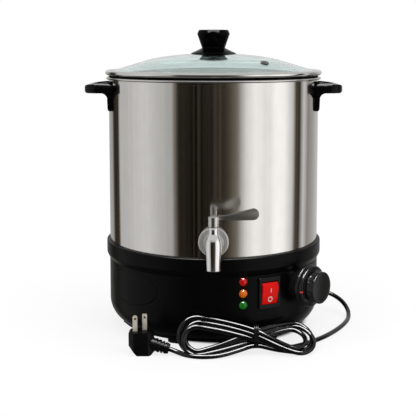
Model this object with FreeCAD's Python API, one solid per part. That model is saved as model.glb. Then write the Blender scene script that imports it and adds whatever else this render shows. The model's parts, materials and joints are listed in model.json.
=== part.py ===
import FreeCAD, Part

import math
import os

# Candle wax melter: a double-walled steel pot on a moulded base.
# Millimetres, +Z up, front towards -Y. Pieces are modelled round the pot's own
# axis and moved back at the end, so that the origin is under the middle of the
# whole outline. An angle round the pot is 0 at the front and grows to the right.
V = FreeCAD.Vector
UP = V(0, 0, 1)
OUT = V(0, -1, 0)

# Clearances
RUNNING = 0.05      # shaft in its bore, on the radius
LOOSE = 0.3         # between pieces that move past each other
FITTED = 0.15       # between pieces that push together
SEATED = 0.1        # between curved faces that rest on each other

# Base
SHELL_R = 156.0     # outside of the steel shell, from which every other radius follows
FOOT_HEIGHT = 10.5
BASE_TOP = 102.0
BASE_OUT = 0.7      # base wall beyond the shell
BASE_WALL = 3.0
BASE_ROUND_TOP = 45.0
BASE_RING_IN = 17.2  # lower ring inside the base wall
BASE_RING_TALL = 6.0
PLATE_THICK = 2.5
FLANGE_THICK = 3.0
FLANGE_WIDE = 10.5
FOOT_COUNT = 6
FOOT_FIRST = -83.0
FOOT_WIDE = 26.0
FOOT_DEEP = 15.0
FOOT_STEM_R = 3.0
PLATE_SCREW_R = 1.6
VENT_SLOT = 4.5
VENT_SLOT_LONG = 25.0
VENT_ROWS = {88.0: 12, 54.0: 18}   # distance of a row's start inside the plate's edge: slots

# Collar between base and shell
COLLAR_OUT = 4.8    # collar beyond the shell
COLLAR_TALL = 27.0
COLLAR_BAND = 18.0
COLLAR_SKIRT = 7.0
COLLAR_LIP = 1.2

# Steel shell and pot
SHELL_WALL = 0.8
SHELL_TALL = 255.0
SHELL_SEAT = 15.0   # depth of the shell's foot in the collar
POT_WALL = 1.2
POT_GAP = 6.0       # insulated space between pot and shell
POT_FLOOR_RISE = 9.2  # pot's floor above the collar
POT_CORNER = 3.0
RIM_BEAD_R = 1.7
RIM_OUT = 2.0       # the bead's middle beyond the shell

# Oval outline pressed into the base. Places along the wall are lengths of arc from the front.
OVAL_ALONG = -132.6
OVAL_DROP = 26.5    # its middle below the base's top
OVAL_HALF_WIDE = 53.0
OVAL_HALF_TALL = 25.0
OVAL_LINE = 1.2
OVAL_DEEP = 0.5

# Heating, under the pot
SPREADER_IN = 26.0   # spreader's edge inside the shell
SPREADER_THICK = 5.0
ELEMENT_IN = 45.0    # middle of the element inside the spreader's edge
ELEMENT_R = 4.0
ELEMENT_GAP_ANGLE = 24.0
ELEMENT_DROP = 13.0
CLAMP_HALF = 24.0
CLAMP_THICK = 1.5
CLAMP_SCREW_OUT = 13.0
SHIELD_IN = 14.0
SHIELD_GAP = 27.0
SHIELD_THICK = 1.0
STANDOFF_IN = 10.0
STANDOFF_R = 4.0
BULB_R = 3.0
BULB_LONG = 74.0
BULB_Y = 40.0

# Pilot lamps, by their distance below the base's top
LAMP_ALONG = 41.0
LAMP_DROPS = {"lamp_red": 6.4, "lamp_orange": 22.9, "lamp_green": 39.2}
LAMP_R = 5.8
LAMP_STEM_R = 4.6
LAMP_PROUD = 4.6

# Rocker switch
SWITCH_GAP = 16.4    # along the wall, from the lamps
SWITCH_DROP = 25.3
SWITCH_WIDE = 34.4
SWITCH_TALL = 44.0
SWITCH_PROUD = 2.6
SWITCH_SUNK = 1.5    # frame's back inside the base wall
SWITCH_RIM_SIDE = 3.1
SWITCH_RIM_END = 4.8
SWITCH_BODY_DEEP = 24.0
ROCKER_SIDE = 1.7    # from the rocker to the outside of the switch body
ROCKER_END = 2.2
ROCKER_FACE = 6.2    # flat front beyond the pivot
ROCKER_BEVEL = 6.6   # slanted strip at the top of the front
ROCKER_FALL = 4.4    # how far the strip falls back
ROCKER_THROW = 20.0
PIVOT_DEPTH = 4.5    # rocker pivot behind the frame's face
PIVOT_R = 1.5

# Temperature dial
DIAL_GAP = 9.6       # along the wall, from the switch
DIAL_DROP = 21.5
BEZEL_PROUD = 21.0   # bezel's face beyond the shell
BEZEL_RIM = 0.8      # bezel's radius beyond the skirt
BEZEL_THICK = 6.0
BEZEL_NECK_R = 20.5
SKIRT_R = 28.7
SKIRT_THICK = 6.0
SKIRT_GAP = 0.5
DIAL_NECK_R = 19.5
DIAL_NECK_LONG = 3.0
GRIP_R = 22.4
GRIP_LONG = 11.0
GRIP_FLUTES = 18
MARK_ANGLE = 13.5    # below the skirt's left side
SHAFT_R = 3.0
THERMOSTAT_IN = 7.0   # thermostat's face inside the shell

# Side handles
HANDLE_OUT = 32.2    # grip's outside beyond the shell
HANDLE_HALF = 60.0
HANDLE_ARM = 17.0
HANDLE_DROP = 3.5    # top of the ears below the middle of the rim
HANDLE_CORNER_R = 26.0
FINGER_CORNER_R = 13.0
GRIP_THICK = 11.5
GRIP_DROP = 5.0      # top of the grip below the top of the ears
GRIP_TALL = 12.2
LEG_HALF = 52.0      # outer end of a leg from the middle of the handle
LEG_LONG = 26.5
LEG_THICK = 6.9      # at its outer end
HANDLE_SCREW_UP = 8.0
HANDLE_SCREW_IN = 4.6   # from the leg's outer end
HANDLE_SCREW_SHORT = 1.8   # screw's end inside the leg's face
HANDLE_SCREW_R = 2.4
HANDLE_SIDES = {"handle_right": 90.0, "handle_left": -90.0}

# Drain spigot
SPIGOT_OUT = 38.0    # vertical axis of the valve beyond the shell
SPIGOT_RISE = 1.6    # inlet nut's corners above the pot's floor
INLET_R = 9.0
INLET_BORE_R = 6.0
INLET_NUT_WALL = 2.0
FLANGE_R = 20.7
SEAL_THICK = 2.4
FLANGE_SEAT = 5.0
SPOUT_LONG = 30.9    # spout's mouth below the inlet
SPOUT_TIP_R = 9.85
SPOUT_R = 10.5
SPOUT_BORE_R = 6.5
BARREL_R = 11.0
BARREL_UNDER = 2.5   # barrel below and above the inlet
BARREL_OVER = 1.5
BONNET_LONG = 16.4
BONNET_R = 6.1
VALVE_R = 7.5
STEM_R = 3.2
HUB_R = 7.0
HUB_TALL = 14.3
LEVER_REACH = 60.0
LEVER_ROOT_TALL = 8.4
LEVER_TIP_TALL = 15.6
LEVER_RISE = 4.4
LEVER_THICK = 2.8

# Lid
BAND_OUT = 5.0       # band beyond the shell
BAND_GAP = 2.8       # band above the rim's bead
BAND_TALL = 7.3
BAND_LIP = 11.0      # width of the band's top over the glass
BAND_SHEET = 1.2
BAND_STEP = 5.0      # lid's resting step, from its inner lip outwards
GLASS_COVER = 1.6    # glass edge below the band's top
GLASS_HELD = 2.4     # glass edge under the band
GLASS_CROWN_R = 528.0
GLASS_BREAK = 91.0   # radius where the crown meets the steeper skirt
GLASS_SKIRT_SLOPE = 0.3
GLASS_THICK = 4.0
KNOB_TALL = 34.5
KNOB_FLANGE_R = 33.8
KNOB_NECK_R = 16.5
KNOB_WIDEST_R = 24.5
KNOB_TOP_R = 20.5
KNOB_SCREW_R = 3.0
WASHER_THICK = 1.8
VENT_IN = 44.4       # steam vent inside the glass edge
VENT_ANGLE = 42.0
VENT_R = 6.2
VENT_BORE_R = 2.6

# Mains cord, tied in a hank in front of the base. Its points are in the pot's frame.
CORD_R = 3.3
RELIEF_START = V(141.4, 54.3, 34.8)
LEAD = [
    V(172, 48.5, 29.7), V(186, 45, 26.5), V(200.5, 33.7, 19.5), V(208.5, 13.9, 10.5),
    V(206.5, -9.6, 3.6), V(196.5, -38.6, 3.4), V(181.5, -69, 3.4), V(163, -98, 3.4),
    V(147, -114.5, 5),
]
TAIL = [V(-60, -172.5, 8), V(-50, -175, 5), V(-38, -179, 3.8)]
TIE_AT = V(57, -168, 24)
HANK_THICK = 13.0
PLUG_AT = V(-98, -167, 0)
PLUG_WIDE = 34.0
PLUG_DEEP = 27.0
PLUG_TALL = 32.0
BLADE_WIDE = 6.3
BLADE_LONG = 22.0
BLADE_THICK = 1.5
BLADE_HOLE_R = 1.6
BLADES_APART = V(12.5, 7.5, 0)


def around(along, radius):
    """Angle round the pot of a place given by its length of arc from the front."""
    return math.degrees(along / radius)


# Radii and heights that follow
SHELL_IN = SHELL_R - SHELL_WALL
POT_R = SHELL_IN - POT_GAP - POT_WALL
POT_OUT = POT_R + POT_WALL
BASE_R = SHELL_R + BASE_OUT
BASE_IN = BASE_R - BASE_WALL
BASE_RING_R = BASE_R - BASE_RING_IN
BASE_RING_TOP = FOOT_HEIGHT + BASE_RING_TALL
PLATE_R = BASE_RING_R - BASE_WALL - FITTED
PLATE_TOP = FOOT_HEIGHT + PLATE_THICK
COLLAR_R = SHELL_R + COLLAR_OUT
COLLAR_IN = SHELL_IN - 5.2
COLLAR_TOP = BASE_TOP + COLLAR_TALL
SHELL_FOOT = COLLAR_TOP - SHELL_SEAT
RIM_Z = SHELL_FOOT + SHELL_TALL
RIM_R = SHELL_R + RIM_OUT
RIM_TOP = RIM_Z + POT_WALL / 2
POT_FLOOR = COLLAR_TOP + POT_FLOOR_RISE

SPREADER_R = SHELL_R - SPREADER_IN
SPREADER_TOP = POT_FLOOR - POT_WALL
SPREADER_BOTTOM = SPREADER_TOP - SPREADER_THICK
ELEMENT_RING_R = SPREADER_R - ELEMENT_IN
CLAMP_TOP = SPREADER_BOTTOM - 2 * ELEMENT_R
SHIELD_R = SHELL_R - SHIELD_IN
SHIELD_Z = SPREADER_BOTTOM - SHIELD_GAP - SHIELD_THICK
STANDOFF_RING_R = SPREADER_R - STANDOFF_IN

OVAL_ANGLE = around(OVAL_ALONG, BASE_R)
OVAL_Z = BASE_TOP - OVAL_DROP
LAMP_ANGLE = around(LAMP_ALONG, BASE_R)
LAMP_ROWS = {name: BASE_TOP - drop for name, drop in LAMP_DROPS.items()}
SWITCH_ALONG = LAMP_ALONG + LAMP_R + SWITCH_GAP + SWITCH_WIDE / 2
SWITCH_ANGLE = around(SWITCH_ALONG, BASE_R)
SWITCH_Z = BASE_TOP - SWITCH_DROP
SWITCH_SEAT = BASE_R - SWITCH_SUNK
SWITCH_FACE = BASE_R + SWITCH_PROUD
SWITCH_BODY_WIDE = SWITCH_WIDE - 2 * SWITCH_RIM_SIDE
SWITCH_BODY_TALL = SWITCH_TALL - 2 * SWITCH_RIM_END
ROCKER_WIDE = SWITCH_BODY_WIDE - 2 * ROCKER_SIDE
ROCKER_TALL = SWITCH_BODY_TALL - 2 * ROCKER_END
PIVOT_AT = SWITCH_FACE - PIVOT_DEPTH
BEZEL_R = SKIRT_R + BEZEL_RIM
DIAL_ANGLE = around(SWITCH_ALONG + SWITCH_WIDE / 2 + DIAL_GAP + BEZEL_R, BASE_R)
DIAL_Z = BASE_TOP - DIAL_DROP
BEZEL_FACE = SHELL_R + BEZEL_PROUD
SKIRT_BACK = BEZEL_FACE + SKIRT_GAP
GRIP_BACK = SKIRT_BACK + SKIRT_THICK + DIAL_NECK_LONG
GRIP_FACE = GRIP_BACK + GRIP_LONG
THERMOSTAT_FACE = SHELL_R - THERMOSTAT_IN

HANDLE_REACH = SHELL_R + HANDLE_OUT
HANDLE_TOP = RIM_Z - HANDLE_DROP
GRIP_TOP = HANDLE_TOP - GRIP_DROP
GRIP_BOTTOM = GRIP_TOP - GRIP_TALL
LEG_BOTTOM = GRIP_BOTTOM - LEG_LONG
HANDLE_SCREW_Z = LEG_BOTTOM + HANDLE_SCREW_UP
LEG_FACE = math.sqrt(SHELL_R ** 2 - LEG_HALF ** 2) + LEG_THICK
HANDLE_SCREW_ANGLE = math.degrees(math.asin((LEG_HALF - HANDLE_SCREW_IN) / SHELL_R))
HANDLE_SCREW_END = LEG_FACE / math.cos(math.radians(HANDLE_SCREW_ANGLE)) - HANDLE_SCREW_SHORT

NUT_R = (INLET_R + INLET_NUT_WALL) / math.cos(math.pi / 6)
SPIGOT_AXIS = SHELL_R + SPIGOT_OUT
SPIGOT_Z = POT_FLOOR + NUT_R + SPIGOT_RISE
SPOUT_BOTTOM = SPIGOT_Z - SPOUT_LONG
BARREL_BOTTOM = SPIGOT_Z - INLET_R - BARREL_UNDER
BARREL_TOP = SPIGOT_Z + INLET_R + BARREL_OVER
BONNET_TOP = BARREL_TOP + BONNET_LONG
HUB_BOTTOM = BONNET_TOP + LOOSE
HUB_TOP = HUB_BOTTOM + HUB_TALL

BAND_R = SHELL_R + BAND_OUT
BAND_IN = BAND_R - BAND_LIP
BAND_BOTTOM = RIM_Z + RIM_BEAD_R + BAND_GAP
BAND_TOP = BAND_BOTTOM + BAND_TALL
GLASS_EDGE = BAND_IN + GLASS_HELD
GLASS_RISE = GLASS_CROWN_R - math.sqrt(GLASS_CROWN_R ** 2 - GLASS_BREAK ** 2)
GLASS_TOP = BAND_TOP - GLASS_COVER + (GLASS_EDGE - GLASS_BREAK) * GLASS_SKIRT_SLOPE + GLASS_RISE
VENT_RING = GLASS_EDGE - VENT_IN
KNOB_TOP = GLASS_TOP + KNOB_TALL

AXIS_Y = (SPIGOT_AXIS + BARREL_R - BAND_R) / 2   # where the pot's axis lies in the part's frame


def at(point):
    return V(point[0], 0, point[1])


def outline(*steps):
    """Closed wire in the XZ plane. A step is a corner, or the (middle, end) of an arc."""
    edges = []
    here = steps[0]
    for step in steps[1:] + (steps[0],):
        if isinstance(step[0], tuple):
            middle, end = step
            edges.append(Part.Arc(at(here), at(middle), at(end)).toShape())
        else:
            end = step
            edges.append(Part.makeLine(at(here), at(end)))
        here = end
    return Part.Wire(edges)


def spun(*steps):
    """Solid of a (radius, height) outline turned about the Z axis."""
    return Part.Face(outline(*steps)).revolve(V(0, 0, 0), UP, 360)


def ring(outer, inner, bottom, top):
    return spun((inner, bottom), (outer, bottom), (outer, top), (inner, top))


def disc(radius, bottom, top, x=0.0, y=0.0):
    return Part.makeCylinder(radius, top - bottom, V(x, y, bottom), UP)


def rod(radius, start, end, x=0.0, z=0.0):
    """Cylinder that runs outwards at the front, from one distance from the axis to another."""
    return Part.makeCylinder(radius, end - start, V(x, -start, z), OUT)


def block(wide, tall, start, end, z, x=0.0):
    """Box at the front, between two distances from the axis, centred on (x, z)."""
    return Part.makeBox(wide, end - start, tall, V(x - wide / 2, -end, z - tall / 2))


def round_along(shape, direction, radius):
    """Fillets a box's edges that run along a direction."""
    picked = []
    for edge in shape.Edges:
        run = edge.tangentAt(edge.FirstParameter)
        if abs(abs(run.dot(direction)) - 1) < 1e-6:
            picked.append(edge)
    return shape.makeFillet(radius, picked)


def faced(shape, angle):
    """Turns a piece made at the front round the pot's axis."""
    turned = shape.copy()
    turned.rotate(V(0, 0, 0), UP, angle)
    return turned


def repeated(shape, angles):
    return Part.makeCompound([faced(shape, angle) for angle in angles])


def evenly(count, first=0.0):
    return [first + 360.0 * i / count for i in range(count)]


def front_edges(shape, distance):
    """Edges that lie in the upright plane at a distance in front of the axis."""
    return [e for e in shape.Edges if abs(e.BoundBox.YMax + distance) < 0.01 and e.BoundBox.YLength < 0.01]


def onto_axis(shape, start, direction):
    """Moves a piece made up the Z axis so that it runs from a point along a direction."""
    placed = shape.copy()
    placed.Placement = FreeCAD.Placement(start, FreeCAD.Rotation(UP, direction))
    return placed


def outer_shell():
    shell = ring(SHELL_R, SHELL_IN, SHELL_FOOT, RIM_Z - 2.0)
    return shell.cut(rod(INLET_R + LOOSE, POT_R, SHELL_R + 10, z=SPIGOT_Z)).cut(screw_holes())


def handle_screw_angles():
    return [
        side + turn
        for side in HANDLE_SIDES.values()
        for turn in (-HANDLE_SCREW_ANGLE, HANDLE_SCREW_ANGLE)
    ]


def screw_holes():
    hole = rod(HANDLE_SCREW_R + FITTED, POT_OUT, SHELL_R + 5, z=HANDLE_SCREW_Z)
    return repeated(hole, handle_screw_angles())


def inner_pot():
    """Straight-sided pot with an eased floor corner and a rim rolled over the shell."""
    under = POT_FLOOR - POT_WALL
    bead = RIM_BEAD_R
    ease = bead * math.tan(math.pi / 8)
    pot = spun(
        (0, under),
        (POT_OUT - POT_CORNER, under),
        (POT_OUT, under + POT_CORNER),
        (POT_OUT, RIM_Z - POT_WALL / 2),
        (RIM_R - bead, RIM_Z - POT_WALL / 2),
        (RIM_R - bead, RIM_Z - ease),
        (RIM_R - ease, RIM_Z - bead),
        (RIM_R + ease, RIM_Z - bead),
        (RIM_R + bead, RIM_Z - ease),
        (RIM_R + bead, RIM_Z + ease),
        (RIM_R + ease, RIM_Z + bead),
        (RIM_R - ease, RIM_Z + bead),
        (RIM_R - bead, RIM_TOP),
        (POT_R, RIM_TOP),
        (POT_R, POT_FLOOR + POT_CORNER),
        (POT_R - POT_CORNER, POT_FLOOR),
        (0, POT_FLOOR),
    )
    return pot.cut(rod(INLET_R + LOOSE, POT_R - 20, POT_OUT + 5, z=SPIGOT_Z))


def insulation_sleeve():
    sleeve = ring(SHELL_IN - LOOSE, POT_OUT + LOOSE, POT_FLOOR + POT_CORNER, RIM_Z - 8)
    pocket = rod(6.0, POT_R - 5, SHELL_R + 5, z=HANDLE_SCREW_Z)
    opening = rod(INLET_R + 2, POT_R - 5, SHELL_R + 5, z=SPIGOT_Z)
    return sleeve.cut(repeated(pocket, handle_screw_angles())).cut(opening)


def collar_ring():
    """Moulded ring that carries the shell and caps the base."""
    band = COLLAR_TOP - COLLAR_BAND
    seat = SHELL_R + FITTED
    skirt = BASE_IN - FITTED
    collar = spun(
        (BASE_R, BASE_TOP),
        (COLLAR_R - 0.6, band - 2),
        (COLLAR_R, band),
        (COLLAR_R, COLLAR_TOP - COLLAR_LIP),
        (COLLAR_R - COLLAR_LIP, COLLAR_TOP),
        (seat, COLLAR_TOP),
        (seat, SHELL_FOOT),
        (COLLAR_IN, SHELL_FOOT),
        (COLLAR_IN, BASE_TOP - COLLAR_SKIRT),
        (skirt, BASE_TOP - COLLAR_SKIRT),
        (skirt, BASE_TOP),
    )
    lamp_room = rod(clip_radius() + LOOSE, COLLAR_IN - 10, BASE_IN, z=max(LAMP_ROWS.values()))
    return collar.cut(faced(lamp_room, LAMP_ANGLE))


def knee(start, end):
    """Middle of the arc from a point up to another, where it runs straight up."""
    across = end[0] - start[0]
    up = end[1] - start[1]
    radius = (across ** 2 + up ** 2) / (2 * across)
    half_turn = math.asin(up / radius) / 2
    return end[0] - radius * (1 - math.cos(half_turn)), end[1] - radius * math.sin(half_turn)


def base_profile():
    """Base wall: a plain drum, rounded in to a lower ring with an inner screw flange."""
    ring_in = BASE_RING_R - BASE_WALL
    flange_in = ring_in - FLANGE_WIDE
    top = PLATE_TOP + FLANGE_THICK
    start = (BASE_RING_R + 2, BASE_RING_TOP)
    knee_r, knee_z = knee(start, (BASE_R, BASE_ROUND_TOP))
    return spun(
        (BASE_RING_R, FOOT_HEIGHT),
        start,
        ((knee_r, knee_z), (BASE_R, BASE_ROUND_TOP)),
        (BASE_R, BASE_TOP),
        (BASE_IN, BASE_TOP),
        (BASE_IN, BASE_ROUND_TOP),
        (knee_r - BASE_WALL, knee_z + BASE_WALL),
        (BASE_RING_R - 1.5, BASE_RING_TOP + BASE_WALL),
        (ring_in - 1.5, top),
        (flange_in, top),
        (flange_in, PLATE_TOP),
        (ring_in, PLATE_TOP),
        (ring_in, FOOT_HEIGHT),
    )


def oval_line():
    """Shallow oval groove, as deep everywhere as the wall is round."""
    def oval(half_wide, half_tall):
        curve = Part.Ellipse(V(0, 0, 0), half_wide, half_tall).toShape()
        face = Part.Face(Part.Wire([curve]))
        face.rotate(V(0, 0, 0), V(1, 0, 0), 90)
        face.translate(V(0, -BASE_R + 40, OVAL_Z))
        return face.extrude(V(0, -60, 0))

    line = oval(OVAL_HALF_WIDE, OVAL_HALF_TALL).cut(
        oval(OVAL_HALF_WIDE - OVAL_LINE, OVAL_HALF_TALL - OVAL_LINE)
    )
    skin = ring(BASE_R + 1, BASE_R - OVAL_DEEP, OVAL_Z - 40, OVAL_Z + 40)
    return faced(line.common(skin), OVAL_ANGLE)


def switch_window():
    window = block(SWITCH_BODY_WIDE + 0.4, SWITCH_BODY_TALL + 0.4, BASE_IN - 5, BASE_R + 5, SWITCH_Z)
    seat = block(SWITCH_WIDE + 0.4, SWITCH_TALL + 0.4, SWITCH_SEAT, BASE_R + 5, SWITCH_Z)
    return faced(window.fuse(round_along(seat, OUT, 2.2)), SWITCH_ANGLE)


def plate_screw_angles():
    return evenly(FOOT_COUNT, FOOT_FIRST + 180.0 / FOOT_COUNT)


def plate_screw_ring():
    return BASE_RING_R - BASE_WALL - FLANGE_WIDE / 2


def base_housing():
    housing = base_profile().cut(oval_line()).cut(switch_window())
    for z in LAMP_ROWS.values():
        hole = rod(LAMP_STEM_R + FITTED, BASE_IN - 5, BASE_R + 5, z=z)
        housing = housing.cut(faced(hole, LAMP_ANGLE))
    bush = rod(bush_radius() + FITTED, BASE_IN - 5, BASE_R + 5, z=DIAL_Z)
    housing = housing.cut(faced(bush, DIAL_ANGLE))
    gland = onto_axis(disc(gland_radius(), -8, 25), RELIEF_START, relief_axis())
    housing = housing.cut(gland)
    pilot = disc(PLATE_SCREW_R, PLATE_TOP - 1, PLATE_TOP + FLANGE_THICK + 1, y=-plate_screw_ring())
    stem = disc(FOOT_STEM_R + FITTED, PLATE_TOP - 1, PLATE_TOP + FLANGE_THICK + 1, y=-foot_ring())
    housing = housing.cut(repeated(pilot, plate_screw_angles()))
    return housing.cut(repeated(stem, foot_angles()))


def base_plate():
    """Bottom cover with two rings of radial vent slots."""
    plate = disc(PLATE_R, FOOT_HEIGHT, PLATE_TOP)
    for inset, count in VENT_ROWS.items():
        outer = PLATE_R - inset + VENT_SLOT_LONG
        slot = Part.makeBox(VENT_SLOT, VENT_SLOT_LONG, 10, V(-VENT_SLOT / 2, -outer, FOOT_HEIGHT - 3))
        plate = plate.cut(repeated(slot, evenly(count)))
    hole = disc(PLATE_SCREW_R + 0.3, FOOT_HEIGHT - 1, PLATE_TOP + 1, y=-plate_screw_ring())
    plate = plate.cut(repeated(hole, plate_screw_angles()))
    stem = disc(FOOT_STEM_R + FITTED, FOOT_HEIGHT - 1, PLATE_TOP + 1, y=-foot_ring())
    return plate.cut(repeated(stem, foot_angles()))


def foot_ring():
    return BASE_RING_R - 2 - FOOT_DEEP / 2


def foot_angles():
    return evenly(FOOT_COUNT, FOOT_FIRST)


def feet():
    """Rubber blocks with rounded sides, pushed into the base by a stem with a button end."""
    ring_r = foot_ring()
    foot = block(FOOT_WIDE, FOOT_HEIGHT, ring_r - FOOT_DEEP / 2, ring_r + FOOT_DEEP / 2, FOOT_HEIGHT / 2)
    foot = round_along(foot, UP, 5.0)
    lower = [e for e in foot.Edges if e.BoundBox.ZMax < 0.01]
    foot = foot.makeChamfer(2.2, lower)
    above = PLATE_TOP + FLANGE_THICK
    foot = foot.fuse(disc(FOOT_STEM_R, FOOT_HEIGHT - 1, above + 1, y=-ring_r))
    foot = foot.fuse(disc(FOOT_STEM_R + 1.4, above, above + 2, y=-ring_r))
    return repeated(foot, foot_angles())


def screw(shank_r, head_r, head_tall, length):
    """Hexagon-headed screw up the Z axis: the head's underside is at z = 0."""
    corners = [V(head_r, 0, -head_tall)]
    for i in range(5):
        corners.append(FreeCAD.Rotation(UP, 60).multVec(corners[-1]))
    head = Part.Face(Part.makePolygon(corners + corners[:1])).extrude(V(0, 0, head_tall))
    return disc(shank_r, 0, length).fuse(head)


def plate_screws():
    one = screw(PLATE_SCREW_R, 3.4, 2.0, PLATE_THICK + FLANGE_THICK + 2)
    one.translate(V(0, -plate_screw_ring(), FOOT_HEIGHT))
    return repeated(one, plate_screw_angles())


def heat_spreader():
    return disc(SPREADER_R, SPREADER_BOTTOM, SPREADER_TOP)


def heating_element():
    """Flat-sided heater bent to an open ring, with both cold ends turned down."""
    outer = ELEMENT_RING_R + ELEMENT_R
    inner = ELEMENT_RING_R - ELEMENT_R
    element = ring(outer, inner, CLAMP_TOP, SPREADER_BOTTOM)
    opening = Part.makeCylinder(
        outer + 5, 20, V(0, 0, CLAMP_TOP - 5), UP, ELEMENT_GAP_ANGLE
    )
    opening.rotate(V(0, 0, 0), UP, -ELEMENT_GAP_ANGLE)
    element = element.cut(opening)
    for end in element_ends():
        pin_bottom = CLAMP_TOP - ELEMENT_DROP
        element = element.fuse(disc(ELEMENT_R - 0.5, pin_bottom + 6, SPREADER_BOTTOM - 1, end.x, end.y))
        element = element.fuse(disc(1.5, pin_bottom, SPREADER_BOTTOM - 1, end.x, end.y))
    return element


def element_ends():
    """Where the heater's cold ends turn down, just inside its two ends."""
    inset = 4.0
    return [
        FreeCAD.Rotation(UP, turn).multVec(V(ELEMENT_RING_R, 0, 0))
        for turn in (inset, -ELEMENT_GAP_ANGLE - inset)
    ]


def element_clamp():
    outer = ELEMENT_RING_R + CLAMP_HALF
    inner = ELEMENT_RING_R - CLAMP_HALF
    clamp = ring(outer, inner, CLAMP_TOP - CLAMP_THICK, CLAMP_TOP)
    for end in element_ends():
        clamp = clamp.cut(disc(ELEMENT_R + 1, CLAMP_TOP - 5, CLAMP_TOP + 5, end.x, end.y))
    hole = disc(2.2, CLAMP_TOP - 5, CLAMP_TOP + 5, y=-ELEMENT_RING_R - CLAMP_SCREW_OUT)
    return clamp.cut(repeated(hole, clamp_screw_angles()))


def clamp_screw_angles():
    return evenly(4, 45)


def clamp_screws():
    one = screw(2.0, 4.0, 2.4, SPREADER_BOTTOM - CLAMP_TOP + CLAMP_THICK)
    one.translate(V(0, -ELEMENT_RING_R - CLAMP_SCREW_OUT, CLAMP_TOP - CLAMP_THICK))
    return repeated(one, clamp_screw_angles())


def heat_shield():
    shield = disc(SHIELD_R, SHIELD_Z, SHIELD_Z + SHIELD_THICK)
    shield = shield.fuse(ring(SHIELD_R, SHIELD_R - SHIELD_THICK, SHIELD_Z, SHIELD_Z + 8))
    wire_hole = disc(10, SHIELD_Z - 5, SHIELD_Z + 5, y=50)
    return shield.cut(wire_hole)


def shield_standoffs():
    pillar = disc(STANDOFF_R, SHIELD_Z + SHIELD_THICK, SPREADER_BOTTOM, y=-STANDOFF_RING_R)
    return repeated(pillar, evenly(4, 45))


def sensor_bulb():
    start = V(-BULB_LONG / 2, BULB_Y, SPREADER_BOTTOM - BULB_R)
    return Part.makeCylinder(BULB_R, BULB_LONG, start, V(1, 0, 0))


def thermal_cutout():
    body = disc(9, SPREADER_BOTTOM - 7, SPREADER_BOTTOM, 28, -32)
    tabs = Part.makeBox(26, 6, 1.2, V(15, -35, SPREADER_BOTTOM - 8.2))
    return body.fuse(tabs)


def terminal_block():
    body = Part.makeBox(44, 20, 16, V(60, 30, PLATE_TOP))
    for i in range(3):
        body = body.cut(disc(3.2, PLATE_TOP + 10, PLATE_TOP + 20, 68 + 14 * i, 40))
    return body


def bush_radius():
    return SHAFT_R + 2.5


def thermostat_body():
    box = block(36, 27, THERMOSTAT_FACE - 24, THERMOSTAT_FACE, DIAL_Z - 3)
    bush = rod(bush_radius(), THERMOSTAT_FACE - 1, BASE_R + 6, z=DIAL_Z)
    bore = rod(SHAFT_R + RUNNING, THERMOSTAT_FACE - 18, BASE_R + 10, z=DIAL_Z)
    return faced(box.fuse(bush).cut(bore), DIAL_ANGLE)


def thermostat_shaft():
    """Round shaft with a flat along the end that the knob grips."""
    shaft = rod(SHAFT_R, THERMOSTAT_FACE - 17, GRIP_FACE - 4, z=DIAL_Z)
    flat = block(10, 4, BEZEL_FACE + 2, GRIP_FACE, DIAL_Z + SHAFT_R + 1)
    return faced(shaft.cut(flat), DIAL_ANGLE)


def dial_bezel():
    """Hollow stand between the round base and the dial, with a wide rim at its face."""
    back = BASE_R - 12
    rim = BEZEL_FACE - BEZEL_THICK
    inside = BEZEL_NECK_R - 3
    stand = spun(
        (SHAFT_R + 1.0, BEZEL_FACE - 3),
        (inside, BEZEL_FACE - 3),
        (inside, back),
        (BEZEL_NECK_R, back),
        (BEZEL_NECK_R, rim - 4),
        (BEZEL_R - 1.0, rim),
        (BEZEL_R, rim + 1.0),
        (BEZEL_R, BEZEL_FACE - 1.6),
        (BEZEL_R - 1.6, BEZEL_FACE),
        (SHAFT_R + 1.0, BEZEL_FACE),
    )
    stand = turned_out(stand, DIAL_Z)
    stand = stand.cut(disc(BASE_R + SEATED, DIAL_Z - 50, DIAL_Z + 50))
    band = COLLAR_TOP - COLLAR_BAND
    collar = spun(
        (0, BASE_TOP), (BASE_R + SEATED, BASE_TOP), (COLLAR_R - 0.6 + SEATED, band - 2),
        (COLLAR_R + SEATED, band), (COLLAR_R + SEATED, COLLAR_TOP), (0, COLLAR_TOP),
    )
    return faced(stand.cut(collar), DIAL_ANGLE)


def turned_out(shape, z):
    """Swings a piece spun about the Z axis so that its axis runs out at the front."""
    swung = shape.copy()
    swung.rotate(V(0, 0, 0), V(1, 0, 0), 90)
    swung.translate(V(0, 0, z))
    return swung


def dial_profile():
    return (
        (0, SKIRT_BACK),
        (SKIRT_R - 1.0, SKIRT_BACK),
        (SKIRT_R, SKIRT_BACK + 1.0),
        (SKIRT_R, SKIRT_BACK + SKIRT_THICK - 1.4),
        (SKIRT_R - 1.4, SKIRT_BACK + SKIRT_THICK),
        (DIAL_NECK_R, SKIRT_BACK + SKIRT_THICK),
        (DIAL_NECK_R, GRIP_BACK),
        (GRIP_R, GRIP_BACK + 1),
        (GRIP_R, GRIP_FACE - 1.0),
        (GRIP_R - 1.0, GRIP_FACE),
        (GRIP_R - 4, GRIP_FACE),
        (GRIP_R - 5, GRIP_FACE - 0.8),
        (0, GRIP_FACE - 0.8),
    )


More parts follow.
